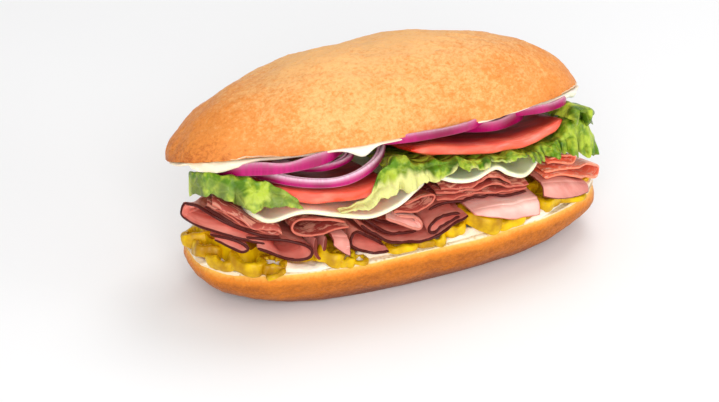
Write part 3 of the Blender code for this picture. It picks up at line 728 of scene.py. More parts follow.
def meat_material(name, lean, shade, fat, rim, rim_width, speck, share, roughness=0.36):
    """Sliced meat: lean ground with fat in it, and a rim of another colour at the cut edge."""
    made, tree, shader = new_material(name, roughness)
    place = surface_place(tree)
    marbling = add_node(tree, "ShaderNodeGroup")
    marbling.node_tree = MARBLING
    tree.links.new(place, marbling.inputs["Place"])
    marbling.inputs["Speck Scale"].default_value = 1 / (speck * MM)
    marbling.inputs["Share"].default_value = share
    cloud = grain(tree, place, 9.0, 3.0, stretch=(0.6, 1.0, 1.0))
    ground = blend(tree, remap(tree, cloud, 0.32, 0.68), lean, shade)
    flesh = blend(tree, marbling.outputs["Fat"], ground, fat)
    edge = mask_on(tree, "rim")
    near_edge = remap(tree, edge, rim_width, rim_width + 4.0, 0.25, 0.0)
    flesh = blend(tree, near_edge, flesh, blend(tree, 0.5, shade, rim))
    ragged = grain(tree, place, 3.0, 2.0, offset=0.2)
    reach = maths(tree, "ADD", maths(tree, "MULTIPLY", ragged, 1.4 * rim_width), 0.3 * rim_width)
    inside = remap(tree, edge, maths(tree, "MULTIPLY", reach, 0.7), reach, 1.0, 0.0)
    paint(tree, shader, blend(tree, inside, flesh, rim))
    tree.links.new(remap(tree, marbling.outputs["Height"], 0.3, 0.7, roughness - 0.1,
                         roughness + 0.12), shader.inputs["Roughness"])
    soften(shader, 0.15, (0.004, 0.0015, 0.001))
    shader.inputs["Specular IOR Level"].default_value = 0.18
    emboss(tree, shader, marbling.outputs["Height"], 0.25, 0.5)
    return made


capicola_material = meat_material("capicola", colour(244, 160, 142), colour(214, 112, 98),
                                  colour(248, 192, 174), colour(78, 20, 14), 1.0, 4.2, 0.10)
ham_material = meat_material("ham", colour(252, 206, 194), colour(244, 176, 164),
                             colour(254, 226, 216), colour(214, 130, 112), 0.7, 6.0, 0.10, 0.32)
# A darker, rosier copy of the ham: partly a rosier ham, partly painted shade for slices in shade
rosy_shaded_material = meat_material("rosy_shaded_ham", colour(236, 166, 152), colour(214, 130, 118),
                              colour(252, 206, 194), colour(126, 52, 40), 0.7, 6.0, 0.10, 0.32)
salami_material = meat_material("salami", colour(186, 84, 72), colour(136, 44, 40),
                                colour(228, 158, 134), colour(206, 110, 90), 0.4, 2.6, 0.68)
# A brighter, warmer copy of the salami: partly a warmer salami, partly painted light under the
# crown's shadow
warm_lit_material = meat_material("warm_lit_salami", colour(255, 150, 114), colour(236, 104, 74),
                              colour(255, 208, 182), colour(250, 146, 112), 0.4, 2.6, 0.6)
# Slices with the share by which the lower layer rises to close the fold
CLOSING = {"capicola_1": 0.8, "capicola_2": 0.8, "capicola_3": 0.9, "capicola_4": 0.9,
           "capicola_9": 0.8, "ham_3": 0.6, "salami_3": 0.1, "salami_4": 0.1, "salami_9": 0.0}
# How far in mm an upper slice's cut edge lies behind the one below it
SET_BACK = {"salami_2": 1.5, "salami_1": 3.0, "salami_5": 3.0, "salami_6": 3.0, "salami_7": 3.0,
            "salami_9": 2.0, "capicola_6": 3.0, "capicola_7": 5.5, "capicola_10": 2.5}
# How far in mm a slice's soft edge hangs down and shows its face
DROOP = {"salami_2": 4.6, "salami_1": 2.6, "salami_5": 2.2, "salami_6": 1.6, "salami_7": 1.4,
         "salami_8": 0.6}
# Path of each slice's cut edge: place along the roll, and level in the fillings
SLICES = {
    "capicola_1": ((-72.0, 19.8), (-81.0, 22.4), (-89.8, 27.0), (-95.7, 31.0),
                   (-100.4, 36.0), (-104.2, 38.8), (-107.6, 36.8), (-108.2, 31.4),
                   (-106.0, 27.2), (-100.0, 24.6), (-93.2, 22.4), (-87.5, 19.8),
                   (-83.5, 17.9), (-79.0, 16.9)),
    "capicola_2": ((-100.4, 22.0), (-93.4, 20.4), (-88.0, 17.4), (-86.2, 14.9), (-89.4, 13.4),
                   (-94.1, 15.8), (-99.0, 19.0)),
    "capicola_3": ((-86.5, 21.5), (-82.0, 20.3), (-77.0, 19.2), (-70.7, 18.0), (-63.7, 16.0),
                   (-59.0, 12.4), (-59.2, 8.8), (-63.6, 6.9), (-71.1, 8.9), (-77.6, 13.0),
                   (-82.5, 15.8)),
    "capicola_4": ((-22.5, 5.0), (-32.0, 5.1), (-39.0, 9.0), (-40.3, 14.5),
                   (-36.5, 17.0), (-30.0, 12.2), (-24.0, 7.4)),
    "capicola_5": ((-34.5, 19.6), (-28.0, 13.6), (-20.5, 8.6), (-10.0, 5.6),
                   (0.0, 5.6), (10.5, 9.6), (20.0, 12.0)),
    "capicola_6": ((-31.0, 20.2), (-24.0, 14.0), (-15.0, 10.2), (-6.0, 8.8)),
    "capicola_7": ((-27.8, 20.6), (-22.0, 16.7), (-13.5, 13.4)),
    "capicola_8": ((-101.0, 39.0), (-93.0, 31.0), (-87.0, 26.0), (-81.5, 23.2)),
    "capicola_9": ((15.0, 15.0), (6.5, 15.3), (0.0, 13.8), (-1.6, 10.5), (1.2, 8.4),
                   (7.0, 11.0), (15.0, 12.9)),
    "capicola_10": ((0.5, 19.0), (12.0, 20.2), (24.0, 20.0), (40.0, 17.2), (52.0, 16.2)),
    "ham_1": ((-56.6, 17.2), (-56.8, 12.0), (-55.6, 7.2), (-53.4, 6.6), (-52.2, 10.6),
              (-51.4, 16.8)),
    "ham_3": ((-22.0, 20.2), (-14.0, 15.8), (-6.0, 11.4), (-3.9, 13.6), (-8.0, 18.0),
              (-16.0, 20.5)),
    "salami_1": ((-100.5, 42.0), (-92.0, 34.3), (-82.0, 26.4), (-71.5, 22.8)),
    "salami_2": ((-98.5, 44.8), (-90.0, 36.6), (-81.5, 28.9), (-71.0, 25.2)),
    "salami_3": ((-41.0, 20.9), (-54.0, 19.0), (-62.5, 19.2), (-66.3, 23.2),
                 (-63.5, 27.8), (-54.0, 27.4), (-42.0, 23.2)),
    "salami_4": ((-18.0, 22.8), (-8.0, 21.3), (0.0, 22.8), (2.6, 26.8), (-2.0, 29.2),
                 (-12.0, 25.8)),
    "salami_5": ((7.0, 31.0), (15.0, 28.8), (28.0, 29.0), (35.0, 30.2), (40.0, 27.4),
                 (45.0, 23.6)),
    "salami_6": ((5.0, 28.2), (15.0, 26.0), (28.0, 25.6), (37.0, 25.0), (44.0, 21.5),
                 (54.0, 20.9)),
    "salami_7": ((4.5, 25.0), (15.0, 23.4), (28.0, 22.9), (40.0, 19.9), (53.0, 18.8)),
    "salami_8": ((62.0, 25.0), (75.0, 22.4), (90.0, 19.0), (100.0, 12.5), (103.0, 7.5),
                 (97.0, 7.4), (87.0, 13.4), (75.0, 19.0), (62.0, 22.0)),
    "salami_9": ((66.0, 30.2), (75.0, 29.2), (82.6, 26.2), (79.5, 24.0), (66.0, 26.9)),
}
# Slices drawn with other copies of the meats: a brighter, warmer salami, partly a warmer salami and
# partly painted light where the crown's shadow falls; and a darker, rosier ham, partly a rosier ham
# and partly painted shade on slices that lie in shade
TINTED_AND_LIT_COPIES = {"salami_8": warm_lit_material, "salami_9": warm_lit_material, "ham_1": rosy_shaded_material,
               "ham_2": rosy_shaded_material, "ham_5": rosy_shaded_material}
MEATS = {"capicola": (CAPICOLA_THICK, capicola_material), "ham": (HAM_THICK, ham_material),
         "salami": (SALAMI_THICK, salami_material)}
for seed, (slice_name, path) in enumerate(SLICES.items()):
    kind = slice_name.split("_")[0]
    thick, slice_material = MEATS[kind]
    slice_material = TINTED_AND_LIT_COPIES.get(slice_name, slice_material)
    middle, surface, rim = fold_grid(path, 10 * seed + 1, CLOSING.get(slice_name),
                                     SET_BACK.get(slice_name, 0.0), DROOP.get(slice_name, 0.0))
    slice_piece = sheet_solid(slice_name + "_slice", middle, thick, slice_material, surface,
                              {"rim": rim})
    serve(slice_piece, kind, slice_name)

# Hanging ham. Three slices folded over the meat, whose soft front edge hangs
# down over the peppers and shows its smooth pink face.
HAM_STATIONS = 46
# Where it is drawn, from the back to the hem: depth in mm, and share of its fall
HAM_PROFILE = ((34.0, 0.0), (0.0, 0.0), (-38.0, 0.0), (-43.5, 0.12), (-45.4, 0.35), (-45.6, 1.0))
# Each slice: the line it folds over, and its hem
HANGING_HAM = {
    "ham_2": (((-49.8, 18.0), (-46.0, 17.4), (-42.0, 16.6)),
              ((-49.8, 14.2), (-46.0, 10.2), (-42.0, 7.4))),
    "ham_4": (((20.5, 15.2), (30.0, 15.6), (45.0, 14.2), (56.5, 13.6)),
              ((20.5, 14.6), (31.0, 10.8), (42.0, 7.6), (56.5, 5.4))),
    "ham_5": (((59.0, 19.8), (66.0, 19.0), (75.0, 16.2), (88.0, 9.6)),
              ((59.0, 13.6), (66.0, 10.6), (75.0, 7.6), (88.0, 5.0))),
}


def curtain_grid(x, profile, seed, wave=0.3):
    """A sheet drawn as one profile of (depth, level) points at each x."""
    middle = []
    for here, line in zip(x, profile):
        run = smooth_line(line, 8)
        middle.append(in_wedge(here, run[:, 0] / FILLING_HALF_WIDTH, run[:, 1]))
    middle = np.array(middle)
    middle[..., 1] += wave * ripple(middle * (1.0, 0.2, 0.4), 14.0, seed)
    lengths = np.array([arc_length(row) for row in middle])
    return middle, lengths


def laid_flat(x, lengths):
    """Surface map of a curtain: along the roll, and down the sheet."""
    return np.stack([np.broadcast_to(x[:, None] * MM, lengths.shape), lengths * MM], axis=-1)


for seed, (ham_name, (fold, hem)) in enumerate(HANGING_HAM.items()):
    x = np.linspace(fold[0][0], fold[-1][0], HAM_STATIONS)
    tops, lows = level_at(fold, x), level_at(hem, x)
    profile = [[(deep, top - share * (top - low)) for deep, share in HAM_PROFILE]
               for top, low in zip(tops, lows)]
    middle, lengths = curtain_grid(x, profile, seed)
    surface = laid_flat(x, lengths)
    rim = np.minimum(lengths[:, -1:] - lengths, (x - x[0])[:, None] + 0.4)
    rim = np.minimum(rim, (x[-1] - x)[:, None])
    ham_piece = sheet_solid(ham_name + "_slice", middle[:, ::-1], HAM_THICK,
                            TINTED_AND_LIT_COPIES.get(ham_name, ham_material), surface[:, ::-1],
                            {"rim": rim[:, ::-1]})
    serve(ham_piece, "ham", ham_name)

# Banana peppers. Chunky lobed rings heaped on the lower mayonnaise, golden
# yellow and wet, over a low bed of pepper pieces that runs under the meat.
HEAP_TOP = ((-98.0, 14.0), (-90.0, 12.2), (-84.0, 11.0), (-72.0, 6.2), (-58.0, 4.8),
            (-46.0, 6.5), (-40.0, 4.4), (-34.0, 3.7), (-8.0, 4.0), (4.0, 4.2),
            (14.0, 8.0), (22.0, 6.6), (56.0, 4.6), (60.0, 7.0), (88.0, 5.0), (98.0, 4.4))
# Each ring: x, y, level of its middle, radius, half height, lean towards the
# front and to the side in degrees
PEPPERS = (
    (-99.5, 2.0, 6.6, 7.0, 2.2, 6.0, -16.0),
    (-97.5, -8.5, 5.6, 7.4, 2.3, 10.0, -12.0),
    (-93.5, -17.5, 5.0, 7.6, 2.0, 12.0, -6.0),
    (-85.0, -25.5, 4.8, 8.6, 2.2, 12.0, 4.0),
    (-75.5, -31.5, 4.0, 6.4, 1.7, 8.0, 0.0),
    (-49.0, -36.0, 5.0, 6.4, 2.3, 30.0, 6.0),
    (-43.0, -38.5, 4.2, 5.2, 1.7, 16.0, 10.0),
    (-13.0, -35.5, 3.0, 8.0, 1.1, 0.0, 0.0),
    (-2.0, -37.0, 3.0, 5.5, 1.0, 0.0, 0.0),
    (13.0, -36.0, 5.0, 6.0, 1.8, 10.0, 0.0),
    (30.0, -33.0, 5.9, 10.5, 2.6, 11.0, -4.0),
    (43.0, -34.0, 4.6, 9.0, 1.8, 8.0, 4.0),
    (66.0, -27.5, 6.0, 9.0, 2.2, 12.0, 6.0),
    (80.0, -25.0, 3.7, 9.5, 1.2, 3.0, 3.0),
)
# Smaller bits of cut rings that lie between them along the front
PEPPER_BITS = (
    (-77.0, -38.5, 3.2, 4.6, 0.8, 16.0, 30.0),
    (-36.5, -41.0, 2.8, 4.6, 0.7, 6.0, 4.0),
    (4.5, -38.8, 3.6, 4.2, 1.9, 24.0, -8.0),
    (54.0, -33.5, 3.8, 5.4, 1.4, 12.0, 6.0),
)
BACK_ROW = 15
PEPPER_TALLER = 1.55
RING_WALL = 0.42
LOBES = (3, 4, 3, 5)
RING_STEPS = 72
SECTION_STEPS = 16
BED_STATIONS = 230
BED_STEPS = 44
BED_LEAST = 2.2
BED_FOOT = 1.2
DENTS = 0.7

pepper_material, pepper_tree, pepper_shader = new_material("banana_pepper", 0.38)
pepper_place = object_place(pepper_tree)
pepper_cloud = grain(pepper_tree, pepper_place, 7.0, 3.0)
pepper_lines = grain(pepper_tree, pepper_place, 1.5, 2.0, stretch=(1.0, 1.0, 0.25), offset=0.2)
pepper_shift = maths(pepper_tree, "ADD", pepper_cloud,
                     maths(pepper_tree, "MULTIPLY", mask_on(pepper_tree, "tone"), 0.18))
pepper_skin = blend(pepper_tree, remap(pepper_tree, pepper_shift, 0.38, 0.80),
                    colour(236, 194, 0), colour(178, 128, 0))
pepper_cut = blend(pepper_tree, remap(pepper_tree, pepper_lines, 0.35, 0.65),
                   colour(228, 192, 16), colour(190, 142, 2))
pepper_tint = blend(pepper_tree, mask_on(pepper_tree, "skin"), pepper_cut, pepper_skin)
paint(pepper_tree, pepper_shader, pepper_tint)
pepper_shader.inputs["Specular IOR Level"].default_value = 0.2
soften(pepper_shader, 0.12, (0.003, 0.002, 0.0004))
glaze(pepper_shader, 0.06, 0.15)
emboss(pepper_tree, pepper_shader, pepper_lines, 0.25, 0.5)


def tube_faces(rows, cols):
    """Faces of a closed ring: sections joined one to the next, and the last to the first."""
    index = np.arange(rows * cols).reshape(rows, cols)
    ahead, aside = np.roll(index, -1, axis=0), np.roll(index, -1, axis=1)
    return np.stack([index, ahead, np.roll(ahead, -1, axis=1), aside], axis=-1).reshape(-1, 4)


def pepper_variant(name, lobes, seed):
    """A cut ring of pepper of radius one, lobed, whose skin side bulges."""
    draw = np.random.default_rng(seed)
    phase = draw.uniform(0, 2 * math.pi, 5)
    sweep = np.linspace(0, 2 * math.pi, RING_STEPS, endpoint=False)
    edge = 1 + 0.11 * np.cos(lobes * sweep + phase[0]) + 0.06 * np.cos(2 * sweep + phase[1])
    wall = RING_WALL * (1 + 0.18 * np.cos(lobes * sweep + phase[2]))
    tall = 1 + 0.16 * np.sin(2 * sweep + phase[3]) + 0.07 * np.sin(5 * sweep + phase[4])
    warp = 0.12 * np.sin(2 * sweep + phase[1])
    side = np.linspace(0, 2 * math.pi, SECTION_STEPS, endpoint=False)
    out = np.sign(np.cos(side)) * np.abs(np.cos(side)) ** 0.5
    up = np.sign(np.sin(side)) * np.abs(np.sin(side)) ** 0.42
    bulge = 0.05 * (1 - up ** 2) * (out > 0)
    r = edge[:, None] - wall[:, None] / 2 * (1 - out) + bulge
    loops = np.stack([r * np.cos(sweep)[:, None], r * np.sin(sweep)[:, None],
                      up * tall[:, None] + warp[:, None]], axis=-1)
    skin = np.broadcast_to(np.clip(out * 2.0, 0, 1), loops.shape[:2])
    return make_piece(name, loops.reshape(-1, 3) / MM,
                      tube_faces(RING_STEPS, SECTION_STEPS).tolist(), pepper_material,
                      masks={"skin": skin})


def pepper_heap_nodes():
    """Rings set on points, each with its own turn, size and tone, over a bed."""
    tree = bpy.data.node_groups.new("pepper_heap", "GeometryNodeTree")
    for label, kind in (("Points", "NodeSocketGeometry"), ("Rings", "NodeSocketCollection"),
                        ("Bed", "NodeSocketObject"), ("Dents", "NodeSocketFloat"),
                        ("Material", "NodeSocketMaterial")):
        tree.interface.new_socket(label, in_out="INPUT", socket_type=kind)
    tree.interface.new_socket("Heap", in_out="OUTPUT", socket_type="NodeSocketGeometry")
    given = add_node(tree, "NodeGroupInput")
    rings = add_node(tree, "GeometryNodeCollectionInfo",
                     {"Collection": given.outputs["Rings"], "Separate Children": True,
                      "Reset Children": True})
    turn_to, size_to, which = [
        add_node(tree, "GeometryNodeInputNamedAttribute", {"Name": label}, data_type=kind)
        for label, kind in (("turn", "FLOAT_VECTOR"), ("size", "FLOAT_VECTOR"), ("variant", "INT"))]
    turning = add_node(tree, "FunctionNodeEulerToRotation", {"Euler": turn_to.outputs[0]})
    placed = add_node(tree, "GeometryNodeInstanceOnPoints",
                      {"Points": given.outputs["Points"], "Instance": rings.outputs[0],
                       "Pick Instance": True, "Instance Index": which.outputs[0],
                       "Rotation": turning.outputs[0], "Scale": size_to.outputs[0]})
    chance = add_node(tree, "FunctionNodeRandomValue", {"Seed": 5}, data_type="FLOAT")
    toned = add_node(tree, "GeometryNodeStoreNamedAttribute",
                     {"Geometry": placed.outputs[0], "Name": "tone",
                      "Value": chance.outputs[1]}, data_type="FLOAT", domain="INSTANCE")
    real = add_node(tree, "GeometryNodeRealizeInstances", {"Geometry": toned.outputs[0]})
    bed = add_node(tree, "GeometryNodeObjectInfo", {"Object": given.outputs["Bed"]})
    joined = add_node(tree, "GeometryNodeJoinGeometry")
    tree.links.new(bed.outputs["Geometry"], joined.inputs[0])
    tree.links.new(real.outputs[0], joined.inputs[0])
    spot = add_node(tree, "GeometryNodeInputPosition")
    rough = add_node(tree, "ShaderNodeTexNoise", {"Vector": spot.outputs[0], "Scale": 190.0,
                                                  "Detail": 1.0})
    centred = add_node(tree, "ShaderNodeVectorMath", {0: rough.outputs["Color"],
                                                      1: (0.5, 0.5, 0.5)}, operation="SUBTRACT")
    push = add_node(tree, "ShaderNodeVectorMath", {0: centred.outputs[0],
                                                   "Scale": given.outputs["Dents"]},
                    operation="SCALE")
    dented = add_node(tree, "GeometryNodeSetPosition", {"Geometry": joined.outputs[0],
                                                        "Offset": push.outputs[0]})
    plain = add_node(tree, "GeometryNodeRealizeInstances", {"Geometry": dented.outputs[0]})
    painted = add_node(tree, "GeometryNodeSetMaterial",
                       {"Geometry": plain.outputs[0], "Material": given.outputs["Material"]})
    out = add_node(tree, "NodeGroupOutput")
    tree.links.new(painted.outputs[0], out.inputs["Heap"])
    return tree


def plain_from_nodes(name, carrier, tree, values):
    """Run a Geometry Nodes group on the carrier and keep its result as a plain mesh."""
    modifier = carrier.modifiers.new(name, "NODES")
    modifier.node_group = tree
    for item in tree.interface.items_tree:
        if item.in_out == "INPUT" and item.name in values:
            modifier[item.identifier] = values[item.name]
    bpy.context.view_layer.update()
    ready = carrier.evaluated_get(bpy.context.evaluated_depsgraph_get())
    mesh = bpy.data.meshes.new_from_object(ready)
    carrier.modifiers.clear()
    bpy.data.objects.remove(carrier)
    made = bpy.data.objects.new(name, mesh)
    bpy.context.scene.collection.objects.link(made)
    return made


bed_x = np.linspace(HEAP_TOP[0][0], HEAP_TOP[-1][0], BED_STATIONS)
bed_wide = half_width(bed_x) - 7.0 - 6.0 * np.clip((-90.0 - bed_x) / 8.0, 0, 1)
for at, half in MAYO_LUMPS:
    bed_wide = bed_wide - 7.0 * np.exp(-((bed_x - at) / half) ** 2)
bed_side = np.linspace(-1.0, 1.0, BED_STEPS)
bed_top = level_at(HEAP_TOP, bed_x)[:, None] * np.ones(len(bed_side))
bed_y = bed_wide[:, None] * bed_side
bed_spot = np.stack([bed_x[:, None] * np.ones(len(bed_side)), bed_y], axis=-1)
bed_top = bed_top + 1.0 * ripple(bed_spot, 11.0, 41) + 0.3 * ripple(bed_spot, 4.5, 42)
bed_upper = np.stack([bed_spot[..., 0], bed_y,
                      wedge_height(bed_y, np.maximum(bed_top, BED_LEAST))], axis=-1)
bed_under = bed_upper[:, ::-1].copy()
bed_under[..., 2] = HEEL_HEIGHT + BED_FOOT
bed_loops = np.concatenate([bed_upper[:, ::-1], bed_under[:, ::-1]], axis=1)
pepper_bed = lofted("pepper_bed", bed_loops, pepper_material,
                    {"skin": np.full(bed_loops.shape[:2], 0.7)})

ring_shelf = bpy.data.collections.new("ring_variants")
for number, lobes in enumerate(LOBES):
    variant = pepper_variant(f"ring_variant_{number}", lobes, 60 + number)
    bpy.context.scene.collection.objects.unlink(variant)
    ring_shelf.objects.link(variant)

draw = np.random.default_rng(11)
rings = [(x, y, level, radius, half * PEPPER_TALLER, lean, side)
         for x, y, level, radius, half, lean, side in PEPPERS + PEPPER_BITS]
for x in np.linspace(-86.0, 84.0, BACK_ROW):
    here = x + draw.uniform(-3.0, 3.0)
    rings.append((here, float(half_width(here)) - draw.uniform(7.0, 9.5), 2.9,
                  draw.uniform(6.0, 8.0), 1.3, draw.uniform(-8, 8), draw.uniform(-8, 8)))
rings = np.array(rings)
ring_places = np.column_stack([rings[:, 0], rings[:, 1], HEEL_HEIGHT + rings[:, 2]])
ring_turns = np.radians(np.column_stack([rings[:, 5], rings[:, 6],
                                         draw.uniform(0, 360, len(rings))]))
ring_sizes = np.column_stack([rings[:, 3], rings[:, 3], rings[:, 4]]) * MM
carrier_mesh = bpy.data.meshes.new("pepper_points")
carrier_mesh.from_pydata((ring_places * MM).tolist(), [], [])
for label, kind, field, values in (("turn", "FLOAT_VECTOR", "vector", ring_turns),
                                   ("size", "FLOAT_VECTOR", "vector", ring_sizes),
                                   ("variant", "INT", "value",
                                    draw.integers(0, len(LOBES), len(rings)))):
    store = carrier_mesh.attributes.new(label, kind, "POINT")
    store.data.foreach_set(field, np.ascontiguousarray(values).ravel())
carrier = bpy.data.objects.new("pepper_points", carrier_mesh)
bpy.context.scene.collection.objects.link(carrier)
peppers = plain_from_nodes("pepper_heap", carrier, pepper_heap_nodes(),
                           {"Rings": ring_shelf, "Bed": pepper_bed, "Dents": DENTS * MM,
                            "Material": pepper_material})
peppers.data.shade_smooth()
for used in [pepper_bed, *ring_shelf.objects]:
    bpy.data.objects.remove(used)
bpy.data.collections.remove(ring_shelf)
serve(peppers, "banana_pepper", "pepper_rings")

# Provolone. Two smooth pale slices laid over the meat, sagging between the
# folds, with soft rounded edges and a faint translucency.
CHEESE_THICK = 2.3
CHEESE_STATIONS = 130
# The line under each slice's front edge
PROVOLONE = {
    "provolone_1": ((-86.0, 34.6), (-81.0, 30.4), (-75.0, 28.0), (-61.5, 31.0), (-46.0, 27.2),
                    (-30.0, 22.6), (-17.0, 25.4), (-6.0, 31.2), (3.5, 32.2)),
    "provolone_2": ((1.0, 35.8), (5.0, 35.2), (13.0, 31.8), (23.0, 30.6), (34.7, 33.4),
                    (42.0, 28.6), (50.5, 25.6), (60.5, 30.2), (64.5, 31.6)),
}

cheese_material, cheese_tree, cheese_shader = new_material("provolone", 0.36)
cheese_place = object_place(cheese_tree)
cheese_cloud = grain(cheese_tree, cheese_place, 16.0, 2.0)
cheese_tint = blend(cheese_tree, remap(cheese_tree, cheese_cloud, 0.3, 0.7), colour(255, 250, 226),
                    colour(253, 240, 202))
paint(cheese_tree, cheese_shader, cheese_tint)
soften(cheese_shader, 0.5, (0.006, 0.004, 0.002))
emboss(cheese_tree, cheese_shader, grain(cheese_tree, cheese_place, 1.2, 2.0), 0.12, 0.5)
for seed, (cheese_name, under) in enumerate(PROVOLONE.items()):
    first, last = under[0][0], under[-1][0]
    x = np.linspace(first, last, CHEESE_STATIONS)
    u = np.abs(2 * (x - first) / (last - first) - 1)
    reach = np.maximum(0.25, (1 - u ** 6) ** (1 / 6)) * 1.02
    across = SLICE_ACROSS * reach[:, None]
    across = across + 0.5 / FILLING_HALF_WIDTH * ripple(on_line(x), 30.0, seed + 70)[:, None]
    level = level_at(under, x)[:, None] + CHEESE_THICK / 2
    droop = 0.5 * np.exp(-SLICE_DEPTHS / 3.0) * (across < 0)
    middle = in_wedge(x[:, None], across, level - droop)
    surface = np.stack(np.broadcast_arrays(x[:, None] * MM, SLICE_DEPTHS * MM), axis=-1)
    cheese = sheet_solid(cheese_name + "_slice", middle, CHEESE_THICK, cheese_material, surface)
    serve(cheese, "provolone", cheese_name)

# Tomato. Thick half slices, cut face to the front: smooth salmon flesh with
# faint pale streaks, a thin red skin at the ends and wet dark flesh on top,
# partly its own red and partly painted shade under the onion and the crown.
# Each slice: the line under its front, and its thickness
TOMATO = {
    "tomato_1": (((-76.0, 41.0), (-62.0, 35.4), (-51.0, 32.6), (-34.0, 31.0), (-18.0, 32.8)),
                 9.0),
    "tomato_2": (((-7.0, 48.4), (2.5, 46.4), (22.0, 42.4), (38.0, 40.3), (54.0, 40.0),
                  (68.0, 42.0), (75.0, 45.5)), 7.6),
}
TOMATO_STATIONS = 90
TOMATO_STEPS = 48
# Where its front lies across the roll, and how far front and back bow out from there
TOMATO_FRONT = -0.90
FRONT_BOW = 0.10
BACK_BOW = 1.75
# How soon it reaches its full thickness, and how far in its skin shows, left and right
TOMATO_TAPER = (1.5, 2.2)
TOMATO_SKIN = (0.46, 0.30)

tomato_material, tomato_tree, tomato_shader = new_material("tomato", 0.22)
tomato_place = object_place(tomato_tree)
tomato_front = mask_on(tomato_tree, "front")
tomato_streaks = grain(tomato_tree, tomato_place, 5.0, 3.0, stretch=(0.45, 1.0, 1.0))
tomato_cloud = grain(tomato_tree, tomato_place, 16.0, 2.0, offset=0.5)
tomato_flesh = blend(tomato_tree, remap(tomato_tree, tomato_streaks, 0.4, 0.75),
                     colour(252, 100, 76), colour(254, 134, 108))
tomato_flesh = blend(tomato_tree, remap(tomato_tree, tomato_cloud, 0.5, 0.8), tomato_flesh,
                     colour(238, 70, 40))
# Painted shade: the wet flesh on top is drawn very dark, partly its own red and partly the shade
# under the onion and crown
tomato_wet_and_shade = blend(tomato_tree, remap(tomato_tree, tomato_streaks, 0.35, 0.65),
                   colour(140, 8, 6), colour(178, 26, 18))
tomato_cut = blend(tomato_tree, tomato_front, tomato_wet_and_shade, tomato_flesh)
tomato_tint = blend(tomato_tree, mask_on(tomato_tree, "skin"), tomato_cut, colour(222, 40, 12))
paint(tomato_tree, tomato_shader, tomato_tint)
tomato_tree.links.new(remap(tomato_tree, tomato_front, 0.0, 1.0, 0.42, 0.24),
                      tomato_shader.inputs["Roughness"])
soften(tomato_shader, 0.3, (0.008, 0.002, 0.001))
glaze(tomato_shader, 0.2, 0.15)
emboss(tomato_tree, tomato_shader, tomato_streaks, 0.3, 0.3)
for seed, (tomato_name, (under, thick)) in enumerate(TOMATO.items()):
    first, last = under[0][0], under[-1][0]
    sweep = np.linspace(0.0, math.pi, TOMATO_STATIONS)
    x = (first + last) / 2 - (last - first) / 2 * np.cos(sweep)
    bow = np.maximum(0.12, np.sin(sweep))
    on_left = sweep < math.pi / 2
    taper = np.where(on_left, *TOMATO_TAPER) * np.sin(sweep)
    half = thick / 2 * np.clip(taper, 0.25, 1.0)
    middle_level = level_at(under, x) + thick / 2
    front, back = TOMATO_FRONT - FRONT_BOW * bow ** 0.5, TOMATO_FRONT + BACK_BOW * bow ** 0.5
    side_turn = np.linspace(0.0, 2 * math.pi, TOMATO_STEPS, endpoint=False)
    cos_side, sin_side = np.cos(side_turn), np.sin(side_turn)
    flat_side = np.sign(cos_side) * np.abs(cos_side) ** 0.5
    up_side = np.sign(sin_side) * np.abs(sin_side) ** 0.45
    centre, reach = (front + back) / 2, (back - front) / 2
    across = centre[:, None] - reach[:, None] * flat_side
    level = middle_level[:, None] + half[:, None] * up_side
    loops = in_wedge(x[:, None], across, level)
    loops[..., 1] += 0.35 * ripple(loops, 16.0, seed + 80)
    facing = np.clip(flat_side * 1.6 - 0.2, 0, 1) * np.clip((0.92 - up_side) / 0.16, 0, 1)
    front_mask = np.broadcast_to(facing, loops.shape[:2])
    end_skin = np.clip((np.where(on_left, *TOMATO_SKIN) - np.sin(sweep)) / 0.2, 0, 1)
    back_skin = np.clip(-flat_side * 3 - 1.8, 0, 1)
    skin_mask = np.maximum(end_skin[:, None], back_skin[None, :])
    tomato = lofted(tomato_name + "_slice", loops, tomato_material,
                    {"front": front_mask, "skin": skin_mask})
    serve(tomato, "tomato", tomato_name)

# Red onion. Rings of two layers: magenta skin outside with fine upright lines,
# and white cut faces that turn pink towards the skin.
ONION_WALL = 4.2
# Each ring: centre, radius, level, how far its sides lift, and height
ONIONS = {
    "onion_1": ((-45.0, -4.0), 35.5, 43.2, 9.5, 4.6),
    "onion_2": ((-62.0, -5.0), 31.0, 54.8, 0.6, 6.4),
    "onion_3": ((-43.0, -3.0), 19.0, 47.6, 3.0, 4.0),
    "onion_4": ((6.5, -3.5), 35.5, 57.2, 0.3, 5.0),
    "onion_5": ((41.8, -5.7), 21.5, 51.4, 1.6, 6.4),
    "onion_6": ((64.4, -8.4), 19.8, 56.1, 0.6, 5.0),
}
ONION_STEPS = 150
# How quickly the skin colour of a ring gives way to its pale cut face
SKIN_SPREAD = {"onion_1": 1.0, "onion_3": 0.7}
USUAL_SPREAD = 0.2
# One layer's section: (share of the wall inwards, share of the height, skin)
ONION_SECTION = ((0.0, 0.10, 1.0), (0.0, 0.35, 1.0), (0.03, 0.58, 0.85), (0.10, 0.80, 0.45),
                 (0.22, 0.94, 0.1), (0.45, 1.0, 0.02), (0.70, 0.99, 0.05), (0.86, 0.95, 0.3),
                 (0.95, 0.8, 0.4), (0.97, 0.5, 0.4), (0.95, 0.2, 0.4), (0.86, 0.05, 0.4),
                 (0.45, 0.0, 0.0), (0.16, 0.0, 0.2), (0.05, 0.03, 0.7))

